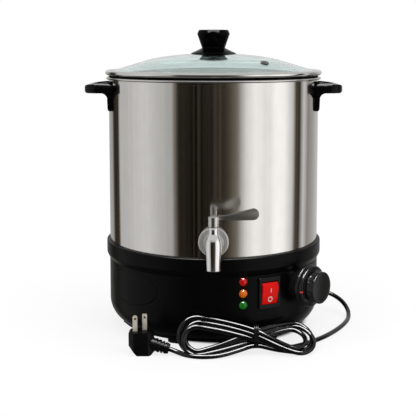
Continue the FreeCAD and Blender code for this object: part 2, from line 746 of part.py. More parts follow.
def dial_knob():
    """Turned knob: wide skirt, waisted neck and a fluted grip."""
    knob = spun(*dial_profile())
    for i in range(GRIP_FLUTES):
        turn = 2 * math.pi * i / GRIP_FLUTES
        x = (GRIP_R + 1.4) * math.cos(turn)
        y = (GRIP_R + 1.4) * math.sin(turn)
        knob = knob.cut(disc(1.9, GRIP_BACK - 1, GRIP_FACE - 2.5, x, y))
    shaft = disc(SHAFT_R + RUNNING, SKIRT_BACK - 1, GRIP_FACE - 4)
    flat = Part.makeBox(10, 4, 60, V(-5, SHAFT_R - 1 + RUNNING, BEZEL_FACE + 2))
    knob = knob.cut(shaft.cut(flat))
    return faced(turned_out(knob, DIAL_Z), DIAL_ANGLE)


def dial_mark():
    """Pointer painted over the edge of the skirt, a little below its left side."""
    deep = SKIRT_THICK - 1.0
    mark = Part.makeBox(4.2, 3.4, deep, V(-SKIRT_R - 0.3, -1.7, SKIRT_BACK + SKIRT_THICK + 0.4 - deep))
    mark = mark.cut(spun(*dial_profile()))
    mark.rotate(V(0, 0, 0), UP, MARK_ANGLE)
    return faced(turned_out(mark, DIAL_Z), DIAL_ANGLE)


def lamp(z):
    """Domed lens on a stem that passes through the base wall."""
    flange = rod(LAMP_R, BASE_R + 0.1, BASE_R + 1.6, z=z)
    ball_r = LAMP_R + 1.2
    ball = Part.makeSphere(ball_r, V(0, -(BASE_R + LAMP_PROUD - ball_r), z))
    dome = ball.common(rod(LAMP_R - 0.4, BASE_R + 1.0, BASE_R + 10, z=z))
    stem = rod(LAMP_STEM_R, BASE_IN - 12, BASE_R + 1, z=z)
    return faced(flange.fuse(dome).fuse(stem), LAMP_ANGLE)


def clip_radius():
    return LAMP_STEM_R + 2.2


def lamp_clips():
    clips = []
    for z in LAMP_ROWS.values():
        clip = rod(clip_radius(), BASE_IN - 3.5, BASE_IN - 0.4, z=z)
        clips.append(faced(clip.cut(rod(LAMP_STEM_R + RUNNING, BASE_IN - 5, BASE_IN + 1, z=z)), LAMP_ANGLE))
    return Part.makeCompound(clips)


def switch_housing():
    frame = block(SWITCH_WIDE, SWITCH_TALL, SWITCH_SEAT, SWITCH_FACE, SWITCH_Z)
    frame = round_along(frame, OUT, 2.0)
    frame = frame.makeFillet(0.8, front_edges(frame, SWITCH_FACE))
    back = SWITCH_SEAT - SWITCH_BODY_DEEP
    body = block(SWITCH_BODY_WIDE, SWITCH_BODY_TALL, back, SWITCH_SEAT + 1, SWITCH_Z)
    wide = ROCKER_WIDE + 2 * LOOSE
    pocket = block(wide, ROCKER_TALL + 2.6, SWITCH_FACE - 16, SWITCH_FACE + 5, SWITCH_Z)
    start = V(-SWITCH_BODY_WIDE / 2 + 0.5, -PIVOT_AT, SWITCH_Z)
    pivot = Part.makeCylinder(PIVOT_R + RUNNING, SWITCH_BODY_WIDE - 1.0, start, V(1, 0, 0))
    return faced(frame.fuse(body).cut(pocket).cut(pivot), SWITCH_ANGLE)


def switch_rocker():
    """Flat-fronted rocker with a slanted strip at its top, lower half pressed in."""
    half = ROCKER_TALL / 2
    wire = outline(
        (-half, ROCKER_FACE),
        (half - ROCKER_BEVEL, ROCKER_FACE),
        (half, ROCKER_FACE - ROCKER_FALL),
        (half - 0.2, 0),
        (half - 3.5, -5),
        (3, -7.5),
        (-3, -7.5),
        (-half + 3.5, -5),
        (-half + 0.2, 0),
    )
    solid = Part.Face(wire).extrude(V(0, ROCKER_WIDE, 0))
    solid.translate(V(0, -ROCKER_WIDE / 2, 0))
    # The outline's first axis becomes the height and its second points out of the base.
    solid.rotate(V(0, 0, 0), UP, 90)
    solid.rotate(V(0, 0, 0), V(1, 0, 0), 90)
    pin_long = SWITCH_BODY_WIDE - 1.6
    pin = Part.makeCylinder(PIVOT_R, pin_long, V(-pin_long / 2, 0, 0), V(1, 0, 0))
    solid = solid.fuse(pin)
    solid.rotate(V(0, 0, 0), V(1, 0, 0), ROCKER_THROW / 2)
    solid.translate(V(0, -PIVOT_AT, SWITCH_Z))
    return faced(solid, SWITCH_ANGLE)


def switch_terminals():
    back = SWITCH_SEAT - SWITCH_BODY_DEEP
    tabs = [
        block(6.3, 0.8, back - 9, back, SWITCH_Z + z, x)
        for x in (-7, 7)
        for z in (-9, 9)
    ]
    return faced(Part.makeCompound(tabs), SWITCH_ANGLE)


def handle(side):
    """Ear with a grip bar, a finger gap and two legs that lie against the shell."""
    wall = SHELL_R - 30
    long = HANDLE_HALF * 2
    bar = Part.Face(handle_section(wall)).extrude(V(0, long, 0))
    bar.translate(V(0, -HANDLE_HALF, 0))
    bar.rotate(V(0, 0, 0), UP, -90)
    flank = Part.Face(handle_flank()).extrude(V(0, -HANDLE_REACH - 10, 0))
    plan = Part.makeBox(long, HANDLE_REACH - wall + 20, 60, V(-HANDLE_HALF, -HANDLE_REACH, LEG_BOTTOM - 5))
    outer_edges = [e for e in plan.Edges if e.BoundBox.ZLength > 50 and e.BoundBox.YMax < -HANDLE_REACH + 1]
    bar = bar.common(plan.makeFillet(HANDLE_CORNER_R, outer_edges)).common(flank)
    gap_wide = (HANDLE_HALF - HANDLE_ARM) * 2
    inside = GRIP_THICK - HANDLE_REACH
    gap = Part.makeBox(gap_wide, HANDLE_REACH, 80, V(-gap_wide / 2, inside, LEG_BOTTOM - 10))
    gap_edges = [e for e in gap.Edges if e.BoundBox.ZLength > 50 and e.BoundBox.YMax < inside + 1]
    bar = bar.cut(gap.makeFillet(FINGER_CORNER_R, gap_edges))
    curved = bar.cut(disc(SHELL_R + SEATED, LEG_BOTTOM - 10, HANDLE_TOP + 10))
    hole = rod(HANDLE_SCREW_R, SHELL_R - 10, HANDLE_SCREW_END, z=HANDLE_SCREW_Z)
    curved = curved.cut(repeated(hole, (-HANDLE_SCREW_ANGLE, HANDLE_SCREW_ANGLE)))
    return faced(curved, side)


def handle_section(wall):
    """Handle seen along the shell: grip at the outside, leg face below."""
    return outline(
        (wall, HANDLE_TOP),
        (LEG_FACE - 3, HANDLE_TOP),
        (LEG_FACE - 1, HANDLE_TOP - 2.2),
        (HANDLE_REACH - 6, GRIP_TOP),
        ((HANDLE_REACH - 1.4, GRIP_TOP - 2.0), (HANDLE_REACH, (GRIP_TOP + GRIP_BOTTOM) / 2)),
        ((HANDLE_REACH - 1.6, GRIP_BOTTOM + 1.8), (HANDLE_REACH - 6, GRIP_BOTTOM)),
        (LEG_FACE + 8, GRIP_BOTTOM),
        ((LEG_FACE + 2.4, GRIP_BOTTOM - 2.3), (LEG_FACE, GRIP_BOTTOM - 8)),
        (LEG_FACE - 0.6, LEG_BOTTOM + 3),
        (LEG_FACE - 2.2, LEG_BOTTOM),
        (wall, LEG_BOTTOM),
    )


def handle_flank():
    """Handle seen from its side: rounded shoulders that draw in to the legs."""
    half = HANDLE_HALF
    leg = LEG_HALF
    foot = LEG_BOTTOM
    low = GRIP_BOTTOM - 7
    nose = GRIP_TOP - 4
    top = HANDLE_TOP
    return outline(
        (half - 12, top),
        ((half - 3.2, top - 2.8), (half, nose)),
        (half - 1.5, GRIP_BOTTOM),
        (leg, low),
        (leg, foot + 4),
        ((leg - 1.2, foot + 1.2), (leg - 4, foot)),
        (-leg + 4, foot),
        ((-leg + 1.2, foot + 1.2), (-leg, foot + 4)),
        (-leg, low),
        (-half + 1.5, GRIP_BOTTOM),
        (-half, nose),
        ((-half + 3.2, top - 2.8), (-half + 12, top)),
    )


def handle_screws():
    """Screws from inside the shell, two to a handle."""
    shank = rod(HANDLE_SCREW_R, SHELL_IN - 0.1, HANDLE_SCREW_END, z=HANDLE_SCREW_Z)
    head = rod(4.5, SHELL_IN - 3.2, SHELL_IN - 0.1, z=HANDLE_SCREW_Z)
    return repeated(shank.fuse(head), handle_screw_angles())


def spigot_seal():
    """Soft ring, flat outside and curved to the shell behind."""
    seal = rod(FLANGE_R - 1.2, SHELL_R - 6, SHELL_R + SEAL_THICK, z=SPIGOT_Z)
    seal = seal.cut(disc(SHELL_R + SEATED, SPIGOT_Z - 40, SPIGOT_Z + 40))
    return seal.cut(rod(INLET_R + FITTED, SHELL_R - 10, SHELL_R + 10, z=SPIGOT_Z))


def spigot_flange():
    start = SHELL_R + SEAL_THICK
    flange = rod(FLANGE_R, start, start + FLANGE_SEAT, z=SPIGOT_Z)
    flange = flange.makeFillet(1.6, front_edges(flange, start + FLANGE_SEAT))
    hub = rod(INLET_R + 4, start + FLANGE_SEAT - 1, start + FLANGE_SEAT + 5, z=SPIGOT_Z)
    return flange.fuse(hub).cut(rod(INLET_R + FITTED, start - 5, start + 30, z=SPIGOT_Z))


def spigot_body():
    """Inlet pipe, barrel and spout in one casting, bored for the valve."""
    inlet = rod(INLET_R, POT_R - 13, SPIGOT_AXIS, z=SPIGOT_Z)
    barrel = spun(
        (0, SPOUT_BOTTOM),
        (SPOUT_TIP_R - 0.6, SPOUT_BOTTOM),
        (SPOUT_TIP_R, SPOUT_BOTTOM + 0.6),
        (SPOUT_R, BARREL_BOTTOM),
        (BARREL_R, SPIGOT_Z - 4),
        (BARREL_R, SPIGOT_Z + 5),
        ((BARREL_R - 0.5, BARREL_TOP - 2.2), (VALVE_R + 2.0, BARREL_TOP)),
        (0, BARREL_TOP),
    )
    barrel.translate(V(0, -SPIGOT_AXIS, 0))
    body = inlet.fuse(barrel)
    body = body.cut(rod(INLET_BORE_R, POT_R - 20, SPIGOT_AXIS, z=SPIGOT_Z))
    body = body.cut(disc(SPOUT_BORE_R, SPOUT_BOTTOM - 5, SPIGOT_Z, y=-SPIGOT_AXIS))
    valve_bottom = BARREL_BOTTOM + 2
    return body.cut(disc(VALVE_R + RUNNING, valve_bottom, BARREL_TOP + 5, y=-SPIGOT_AXIS))


def spigot_valve():
    """Rotor with an elbow port that opens when the lever is turned to the front."""
    bottom = BARREL_BOTTOM + 2.2
    rotor = disc(VALVE_R, bottom, BARREL_TOP - 1.5)
    rotor = rotor.cut(disc(SPOUT_BORE_R - 1.5, bottom - 1, SPIGOT_Z))
    port = Part.makeCylinder(INLET_BORE_R - 1.5, VALVE_R + 5, V(0, 0, SPIGOT_Z), V(1, 0, 0))
    rotor = rotor.cut(port)
    stem = disc(STEM_R, BARREL_TOP - 2, HUB_TOP - 4)
    valve = rotor.fuse(stem)
    valve.translate(V(0, -SPIGOT_AXIS, 0))
    return valve


def spigot_bonnet():
    """Gland nut over the valve, drawn in to a slim neck round the stem."""
    bonnet = spun(
        (STEM_R + RUNNING, BARREL_TOP - 1),
        (VALVE_R - 0.6, BARREL_TOP - 1),
        (VALVE_R - 0.6, BARREL_TOP),
        (VALVE_R + 2.0, BARREL_TOP),
        ((VALVE_R + 0.6, BARREL_TOP + 2.4), (BONNET_R + 0.5, BARREL_TOP + 4.6)),
        (BONNET_R, BARREL_TOP + 7),
        (BONNET_R, BONNET_TOP),
        (STEM_R + RUNNING, BONNET_TOP),
    )
    bonnet.translate(V(0, -SPIGOT_AXIS, 0))
    return bonnet


def spigot_lever():
    """Round hub, slim neck and an upright paddle blade."""
    hub = spun(
        (STEM_R, HUB_BOTTOM),
        (HUB_R - 0.8, HUB_BOTTOM),
        (HUB_R, HUB_BOTTOM + 0.8),
        (HUB_R, HUB_TOP - 0.8),
        (HUB_R - 0.8, HUB_TOP),
        (HUB_R - 2.2, HUB_TOP),
        (HUB_R - 2.6, HUB_TOP - 1.6),
        (STEM_R, HUB_TOP - 1.6),
    )
    root = HUB_R + 12
    low = HUB_TOP - 5.6
    neck_mid = low + LEVER_ROOT_TALL / 2
    tip_mid = neck_mid + LEVER_RISE
    tip_r = LEVER_TIP_TALL / 2
    blade = Part.Face(outline(
        (HUB_R - 2, neck_mid - 3.4),
        (root - 3, neck_mid - 2.9),
        (root + 2, neck_mid - LEVER_ROOT_TALL / 2),
        (LEVER_REACH - tip_r, tip_mid - tip_r),
        ((LEVER_REACH, tip_mid), (LEVER_REACH - tip_r, tip_mid + tip_r)),
        (root + 2, neck_mid + LEVER_ROOT_TALL / 2),
        (root - 3, neck_mid + 2.9),
        (HUB_R - 2, neck_mid + 3.4),
    ))
    paddle = blade.extrude(V(0, LEVER_THICK, 0))
    paddle.translate(V(0, -LEVER_THICK / 2, 0))
    lever = hub.fuse(paddle.cut(disc(HUB_R - 1, HUB_BOTTOM - 5, HUB_TOP + 10)))
    lever.translate(V(0, -SPIGOT_AXIS, 0))
    return lever


def lever_screw():
    head = disc(HUB_R - 3.2, HUB_TOP - 1.6, HUB_TOP - 0.2, y=-SPIGOT_AXIS)
    slot = Part.makeBox(20, 1.0, 2, V(-10, -SPIGOT_AXIS - 0.5, HUB_TOP - 0.9))
    shank = disc(1.4, HUB_TOP - 4, HUB_TOP - 1, y=-SPIGOT_AXIS)
    return head.cut(slot).fuse(shank)


def inlet_seal():
    seal = rod(INLET_R + 2.2, POT_R - 5, POT_R + 5, z=SPIGOT_Z)
    seal = seal.common(disc(POT_R - SEATED, SPIGOT_Z - 40, SPIGOT_Z + 40))
    return seal.cut(rod(INLET_R + FITTED, POT_R - 20, POT_R + 10, z=SPIGOT_Z))


def inlet_nut():
    """Hexagon nut that pulls the spigot against the pot wall."""
    start = POT_R - 5
    corners = [
        V(NUT_R * math.cos(math.pi * i / 3), -start, SPIGOT_Z + NUT_R * math.sin(math.pi * i / 3))
        for i in range(7)
    ]
    nut = Part.Face(Part.makePolygon(corners)).extrude(V(0, 6, 0))
    return nut.cut(rod(INLET_R + RUNNING, start - 20, start + 10, z=SPIGOT_Z))


def crown_height(radius, offset=0.0):
    """Height of the glass's crown, or of a surface that far inside it."""
    return GLASS_TOP - GLASS_CROWN_R + math.sqrt((GLASS_CROWN_R - offset) ** 2 - radius ** 2)


def skirt_height(radius, offset=0.0):
    """Height of the straight skirt beyond the crown, or of a surface that far inside it."""
    return crown_height(GLASS_BREAK) - (radius - GLASS_BREAK) * GLASS_SKIRT_SLOPE - offset


def lid_glass():
    """Domed pane: a round crown that turns down more steeply towards its edge."""
    hole = KNOB_SCREW_R + 0.6
    middle = GLASS_BREAK / 2
    deep = GLASS_THICK
    pane = spun(
        (hole, crown_height(hole)),
        ((middle, crown_height(middle)), (GLASS_BREAK, crown_height(GLASS_BREAK))),
        (GLASS_EDGE, skirt_height(GLASS_EDGE)),
        (GLASS_EDGE, skirt_height(GLASS_EDGE, deep)),
        (GLASS_BREAK, skirt_height(GLASS_BREAK, deep)),
        ((middle, crown_height(middle, deep)), (hole, crown_height(hole, deep))),
    )
    start, direction = vent_axis()
    return pane.cut(onto_axis(disc(VENT_R - 1.6, -20, 20), start, direction))


def vent_axis():
    """Middle of the vent on the glass surface, and the surface's own direction there."""
    lean = math.atan(GLASS_SKIRT_SLOPE)
    turn = math.radians(VENT_ANGLE)
    outward = V(math.sin(turn), -math.cos(turn), 0)
    start = outward * VENT_RING + UP * skirt_height(VENT_RING)
    return start, outward * math.sin(lean) + UP * math.cos(lean)


def vent_eyelet():
    """Flared tube with a flange above and below the glass."""
    tube = VENT_R - 1.8
    below = -GLASS_THICK - 0.15
    eyelet = spun(
        (VENT_BORE_R, below - 1.0),
        (VENT_R - 0.4, below - 1.0),
        (VENT_R - 0.4, below),
        (tube, below),
        (tube, 0.15),
        (VENT_R, 0.15),
        ((VENT_R - 0.8, 1.3), (VENT_BORE_R + 1.4, 1.7)),
        (VENT_BORE_R, 0.9),
    )
    return onto_axis(eyelet, *vent_axis())


def lid_band():
    """Rolled steel band with a pocket for the glass, a resting step and a lip in the pot's mouth."""
    pocket = GLASS_EDGE + FITTED
    floor = skirt_height(pocket, GLASS_THICK) - SEATED
    lip = POT_R - 0.8
    step = RIM_TOP + LOOSE
    return spun(
        (BAND_R - 1.8, BAND_BOTTOM),
        (BAND_R, BAND_BOTTOM + 1.6),
        (BAND_R, BAND_TOP - 1.8),
        (BAND_R - 1.8, BAND_TOP),
        (BAND_IN + 0.8, BAND_TOP - 0.2),
        (BAND_IN, skirt_height(BAND_IN) + SEATED),
        (pocket, skirt_height(pocket) + SEATED),
        (pocket, floor),
        (lip - BAND_SHEET, floor),
        (lip - BAND_SHEET, BAND_BOTTOM - 6),
        (lip, BAND_BOTTOM - 6),
        (lip, step),
        (lip + BAND_STEP, step),
        (lip + BAND_STEP, BAND_BOTTOM),
    )


def lid_knob():
    """Turned knob with a flared foot, a waist and a flat top."""
    foot = crown_height(KNOB_FLANGE_R) + SEATED
    waist = KNOB_TOP - 25.5
    bore = KNOB_SCREW_R
    under = KNOB_FLANGE_R / 2
    return spun(
        (bore, crown_height(bore) + SEATED),
        ((under, crown_height(under) + SEATED), (KNOB_FLANGE_R, foot)),
        (KNOB_FLANGE_R, foot + 1.0),
        ((KNOB_NECK_R + 4.5, foot + 3.6), (KNOB_NECK_R, waist)),
        ((KNOB_NECK_R + 2.4, waist + 11.5), (KNOB_WIDEST_R, KNOB_TOP - 5.2)),
        (KNOB_WIDEST_R - 0.6, KNOB_TOP - 1.6),
        (KNOB_TOP_R, KNOB_TOP),
        (0, KNOB_TOP),
        (0, KNOB_TOP - 14),
        (bore, KNOB_TOP - 14),
    )


def knob_washer():
    low = crown_height(10, GLASS_THICK)
    return ring(10, KNOB_SCREW_R + FITTED, low - WASHER_THICK, low - SEATED)


def knob_screw():
    low = crown_height(10, GLASS_THICK) - WASHER_THICK
    one = screw(KNOB_SCREW_R, 6.0, 3.2, KNOB_TOP - 16 - low)
    one.translate(V(0, 0, low))
    return one


def relief_axis():
    axis = LEAD[0] - RELIEF_START
    return axis.normalize()


def gland_radius():
    return CORD_R + 4.2


def cord_gland():
    """Grommet in the base wall with a tapered, ribbed sleeve round the cord."""
    long = (LEAD[0] - RELIEF_START).Length
    thick = gland_radius() - FITTED
    sleeve = spun(
        (CORD_R, -10),
        (thick + 2.0, -10),
        (thick + 2.0, -8),
        (thick, -8),
        (thick, 12),
        (CORD_R + 1.2, long),
        (CORD_R, long),
    )
    for i in range(4):
        mid = 15.5 + 4.2 * i
        sleeve = sleeve.cut(ring(20, CORD_R + 1.3, mid - 0.9, mid + 0.9))
    return onto_axis(sleeve, RELIEF_START, relief_axis())


def corner_radius(before, corner, after):
    """Largest arc that the two runs at a corner of the route allow."""
    inward = corner - before
    outward = after - corner
    turn = inward.getAngle(outward)
    return 0.45 * min(inward.Length, outward.Length) / math.tan(turn / 2), turn


def route(points, name):
    """Straight runs joined by tangent arcs."""
    edges = []
    here = points[0]
    for before, corner, after in zip(points, points[1:], points[2:]):
        radius, turn = corner_radius(before, corner, after)
        back = (before - corner).normalize()
        on = (after - corner).normalize()
        cut = radius * math.tan(turn / 2)
        start = corner + back * cut
        end = corner + on * cut
        inner = (back + on).normalize()
        middle = corner + inner * (radius / math.cos(turn / 2) - radius)
        edges += [Part.makeLine(here, start), Part.Arc(start, middle, end).toShape()]
        here = end
        print(name, "corner radius", round(radius, 1), "mm")
    edges.append(Part.makeLine(here, points[-1]))
    return Part.Wire(edges)


def tube(points, name):
    path = route(points, name)
    first = points[1] - points[0]
    ring_wire = Part.Wire([Part.makeCircle(CORD_R, points[0], first)])
    solid = path.makePipeShell([ring_wire], True, False)
    expected = math.pi * CORD_R ** 2 * path.Length
    print(name, "length", round(path.Length, 1), "mm, volume ratio", round(solid.Volume / expected, 4))
    return solid


def cord_lead():
    return tube(LEAD, "cord_lead")


def cord_tail():
    return tube(TAIL, "cord_tail")


def leaf(tip, end, up, end_r, thick):
    """Flat teardrop from a narrow tip to a round end, in the plane of the end and up."""
    along = (end - tip).normalize()
    across = (up - along * up.dot(along)).normalize()
    normal = along.cross(across).normalize()
    small = 13.0
    reach = (end - tip).Length

    def spot(a, b):
        return tip + along * a + across * b

    edges = [
        Part.makeLine(spot(0, -small), spot(reach, -end_r)),
        Part.Arc(spot(reach, -end_r), spot(reach + end_r, 0), spot(reach, end_r)).toShape(),
        Part.makeLine(spot(reach, end_r), spot(0, small)),
        Part.makeLine(spot(0, small), spot(0, -small)),
    ]
    face = Part.Face(Part.Wire(edges))
    face.translate(normal * (-thick / 2))
    return face.extrude(normal * thick)


def cord_hank():
    """Outer shape of the tied cord: two leaning lobes that meet at the tie."""
    left = leaf(TIE_AT, V(-23, -175.5, 25.8), V(0, 26, 43.5), 24.5, HANK_THICK)
    right = leaf(TIE_AT, V(105, -150, 20), V(0, 63, 28.5), 36.0, HANK_THICK)
    middle = Part.makeSphere(14.5, TIE_AT)
    hank = left.fuse(right).fuse(middle)
    floor = 0.3
    hank = hank.cut(Part.makeBox(400, 200, 40, V(-150, -260, floor - 40)))
    return hank.cut(disc(BASE_R + 0.4, 0, 80)).removeSplitter()


def cord_tie():
    """Flat tie wound round the middle of the hank."""
    tie = ring(17.4, 15.8, -2, 2)
    return onto_axis(tie, TIE_AT, V(1, 0.28, 0))


def plug_body():
    """Right-angled plug: faceted block with a ribbed sleeve for the cord."""
    half = PLUG_WIDE / 2
    deep = PLUG_DEEP / 2
    side = Part.Face(outline(
        (-half, 13), (-half, PLUG_TALL - 2), (-half + 2, PLUG_TALL), (half - 4, PLUG_TALL),
        (half, PLUG_TALL - 4), (half, 4), (half - 4, 0.3), (-half + 11.5, 0.3),
    ))
    body = side.extrude(V(0, PLUG_DEEP, 0))
    body.translate(V(0, -deep, 0))
    body = chamfer_upright(body, half, deep)
    body.translate(PLUG_AT)
    start = V(PLUG_AT.x + half - 4, PLUG_AT.y - 3, 15)
    axis = TAIL[0] - start
    sleeve = spun(
        (0, 0), (9.2, 0), (8.6, 4), (7.4, axis.Length - 4), (6.6, axis.Length), (0, axis.Length),
    )
    for i in range(4):
        sleeve = sleeve.cut(ring(20, 6.4, 7 + 3.6 * i, 8.8 + 3.6 * i))
    return body.fuse(onto_axis(sleeve, start, axis.normalize())).cut(plug_blades())


def chamfer_upright(body, half, deep):
    """Cuts the block's upright corners off at a slant."""
    bevel = 7.0
    for side in (-1, 1):
        for end in (-1, 1):
            x = side * half
            y = end * deep
            corners = [
                V(x, y - end * bevel, -1), V(x - side * bevel, y, -1), V(x - side * bevel, y + end * 9, -1),
                V(x + side * 9, y + end * 9, -1), V(x + side * 9, y - end * bevel, -1),
                V(x, y - end * bevel, -1),
            ]
            wedge = Part.Face(Part.makePolygon(corners)).extrude(V(0, 0, PLUG_TALL + 5))
            body = body.cut(wedge)
    return body


def plug_blades():
    """Two flat pins, pierced near their tips."""
    blades = []
    for place, tip_r in ((-0.5, BLADE_WIDE / 2 - 0.1), (0.5, 1.2)):
        middle = V(PLUG_AT.x - 2, PLUG_AT.y, 0) + BLADES_APART * place
        blade = Part.makeBox(
            BLADE_WIDE, BLADE_THICK, BLADE_LONG + 3,
            V(middle.x - BLADE_WIDE / 2, middle.y - BLADE_THICK / 2, PLUG_TALL - 3),
        )
        end = PLUG_TALL + BLADE_LONG
        top = [e for e in blade.Edges if e.BoundBox.ZMin > end - 0.1 and e.BoundBox.YLength > 1]
        blade = blade.makeFillet(tip_r, top)
        hole = Part.makeCylinder(
            BLADE_HOLE_R, 10, V(middle.x, middle.y - 5, PLUG_TALL + BLADE_LONG - 5), V(0, 1, 0)
        )
        blades.append(blade.cut(hole))
    return Part.makeCompound(blades)


PIECES = {
    "outer_shell": outer_shell,
    "inner_pot": inner_pot,
    "insulation_sleeve": insulation_sleeve,
    "collar_ring": collar_ring,
    "base_housing": base_housing,
    "base_plate": base_plate,
    "feet": feet,
    "plate_screws": plate_screws,
    "heat_spreader": heat_spreader,
    "heating_element": heating_element,
    "element_clamp": element_clamp,
    "clamp_screws": clamp_screws,
    "heat_shield": heat_shield,
    "shield_standoffs": shield_standoffs,
    "sensor_bulb": sensor_bulb,
    "thermal_cutout": thermal_cutout,
    "terminal_block": terminal_block,
    "thermostat_body": thermostat_body,
    "thermostat_shaft": thermostat_shaft,
    "dial_bezel": dial_bezel,
    "dial_knob": dial_knob,
    "dial_mark": dial_mark,
    "lamp_clips": lamp_clips,
    "switch_housing": switch_housing,
    "switch_rocker": switch_rocker,
    "switch_terminals": switch_terminals,
    "handle_screws": handle_screws,
    "spigot_seal": spigot_seal,
    "spigot_flange": spigot_flange,
    "spigot_body": spigot_body,
    "spigot_valve": spigot_valve,
    "spigot_bonnet": spigot_bonnet,
    "spigot_lever": spigot_lever,
    "lever_screw": lever_screw,
    "inlet_seal": inlet_seal,
    "inlet_nut": inlet_nut,
    "lid_glass": lid_glass,
    "lid_band": lid_band,
    "lid_knob": lid_knob,
    "knob_washer": knob_washer,
    "knob_screw": knob_screw,
    "vent_eyelet": vent_eyelet,
    "cord_gland": cord_gland,
    "cord_lead": cord_lead,
    "cord_hank": cord_hank,
    "cord_tail": cord_tail,
    "cord_tie": cord_tie,
    "plug_body": plug_body,
    "plug_blades": plug_blades,
}


def save(name, shape):
    """Moves a piece from the pot's frame to the part's frame and writes its file."""
    placed = shape.copy()
    placed.translate(V(0, AXIS_Y, 0))
    if not placed.isValid() or placed.Volume <= 0:
        print("PROBLEM", name, placed.isValid(), placed.Volume)
    print(name, "solids", len(placed.Solids), "volume", round(placed.Volume))
    placed.exportStep(f"parts/{name}.step")


def main():
    os.makedirs("parts", exist_ok=True)
    for name, make in PIECES.items():
        save(name, make())
    for name, z in LAMP_ROWS.items():
        save(name, lamp(z))
    for name, side in HANDLE_SIDES.items():
        save(name, handle(side))


main()
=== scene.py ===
import json
import math

import bmesh
import bpy
from mathutils import Matrix, Vector

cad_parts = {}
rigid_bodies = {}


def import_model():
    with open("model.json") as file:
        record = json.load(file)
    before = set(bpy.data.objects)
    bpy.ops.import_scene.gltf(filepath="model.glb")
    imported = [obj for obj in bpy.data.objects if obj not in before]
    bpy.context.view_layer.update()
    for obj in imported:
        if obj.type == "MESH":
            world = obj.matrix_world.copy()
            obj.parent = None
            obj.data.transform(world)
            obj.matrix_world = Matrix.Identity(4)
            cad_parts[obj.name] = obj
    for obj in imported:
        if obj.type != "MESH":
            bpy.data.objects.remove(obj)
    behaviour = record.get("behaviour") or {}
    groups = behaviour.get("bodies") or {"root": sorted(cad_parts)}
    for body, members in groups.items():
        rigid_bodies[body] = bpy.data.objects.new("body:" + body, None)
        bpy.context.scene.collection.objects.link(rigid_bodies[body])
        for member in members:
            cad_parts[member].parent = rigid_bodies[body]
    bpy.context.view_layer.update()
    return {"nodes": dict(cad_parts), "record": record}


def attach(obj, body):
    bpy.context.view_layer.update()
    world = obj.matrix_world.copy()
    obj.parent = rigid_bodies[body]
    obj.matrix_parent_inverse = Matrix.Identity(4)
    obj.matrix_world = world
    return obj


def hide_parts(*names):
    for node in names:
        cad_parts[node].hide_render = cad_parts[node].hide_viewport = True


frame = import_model()

# Lengths in this script are millimetres in the pot's own frame, whose axis stands
# POT_BACK behind the middle of the outline. spot() turns them into metres.
# An angle round the pot is 0 at the front and grows to the right.
POT_BACK = 22.0
MM = 0.001
MELTER, LID, DIAL, ROCKER, SPIGOT_KEY = "melter", "lid", "dial", "rocker", "spigot_key"

# Main sizes, as in the construction
SHELL_R = 156.0
SHELL_IN = 155.2
BASE_R = 156.7
BASE_TOP = 102.0
COLLAR_TOP = 129.0
SHELL_FOOT = 114.0
SHELL_TOP = 367.0
RIM_Z = 369.0
RIM_R = 158.0
RIM_BEAD_R = 1.7
POT_R = 148.0
POT_FLOOR = 138.2
GLASS_TOP = 405.5
GLASS_CROWN = 528.0     # radius of the pane's crown
GLASS_BREAK = 91.0      # the crown turns down into the skirt this far out
GLASS_FALL = 0.3        # slope of the skirt
GLASS_EDGE = 152.4
GLASS_THICK = 4.0
LAMP_ANGLE = 15.0
LAMP_ROWS = {"red": 95.6, "orange": 79.1, "green": 62.8}
SWITCH_ANGLE = 29.46
SWITCH_Z = 76.7
PIVOT_AT = 154.8        # the rocker's pivot, this far from the pot's axis
ROCKER_LEAN = 10.0      # tilt of the rocker at rest
DIAL_ANGLE = 49.98
DIAL_Z = 80.5
SKIRT_BACK = 177.5
SKIRT_R = 28.7
GRIP_BACK = 186.5
GRIP_FACE = 197.5
GRIP_R = 22.4
POINTER_ANGLE = 6.5     # turn of the red spot below the skirt's left side
SPIGOT_Z = 152.5
SPIGOT_AXIS = 194.0
FOOT_RING = 130.0
SCREW_RING = 131.25

# Facets round the turned pieces
WALL_ROUND = 384
POT_ROUND = 320
LID_ROUND = 256
KNOB_ROUND = 160
DIAL_ROUND = 324        # a multiple of the dial's eighteen flutes
SPIGOT_ROUND = 96


def spot(x, y, z):
    """A place in the pot's frame, in metres in the scene."""
    return Vector((x, y + POT_BACK, z)) * MM


def put(name, data):
    """A new object in the scene."""
    thing = bpy.data.objects.new(name, data)
    bpy.context.collection.objects.link(thing)
    return thing


# ---------------------------------------------------------------- camera

LENS = 82.36
SENSOR = 36.0
LENS_SHIFT = (-0.014, -0.16)
CAMERA_AT = (0.473, -1426.788, 420.348)
VIEW_FALL = 5.9         # degrees that the view falls from level


def stand_camera():
    data = bpy.data.cameras.new("camera")
    data.lens = LENS
    data.sensor_width = SENSOR
    data.shift_x, data.shift_y = LENS_SHIFT
    camera = put("camera", data)
    camera.location = spot(*CAMERA_AT)
    camera.rotation_euler = (math.radians(90 - VIEW_FALL), 0, 0)
    bpy.context.scene.camera = camera


# ---------------------------------------------------------------- mains cord

CORD_R = 3.3
GLAND_MOUTH = (172, 48.5, 29.7)
LEAD = [
    (160, 50.7, 31.7), GLAND_MOUTH, (186, 45, 26.5), (200.5, 33.7, 19.5), (208.5, 13.9, 10.5),
    (206.5, -9.6, 3.6), (196.5, -38.6, 3.4), (181.5, -69, 3.4), (163, -98, 3.4),
    (147, -117.5, 3.6), (127, -138, 3.6), (104, -158, 4.5), (80, -168, 10),
]
TAIL = [
    (34, -177, 7.5), (8, -189, 3.6), (-18, -193.0, 3.4), (-38, -184.5, 3.5), (-50, -175, 5),
    (-60, -172.5, 8), (-68, -171.5, 10.5),
]
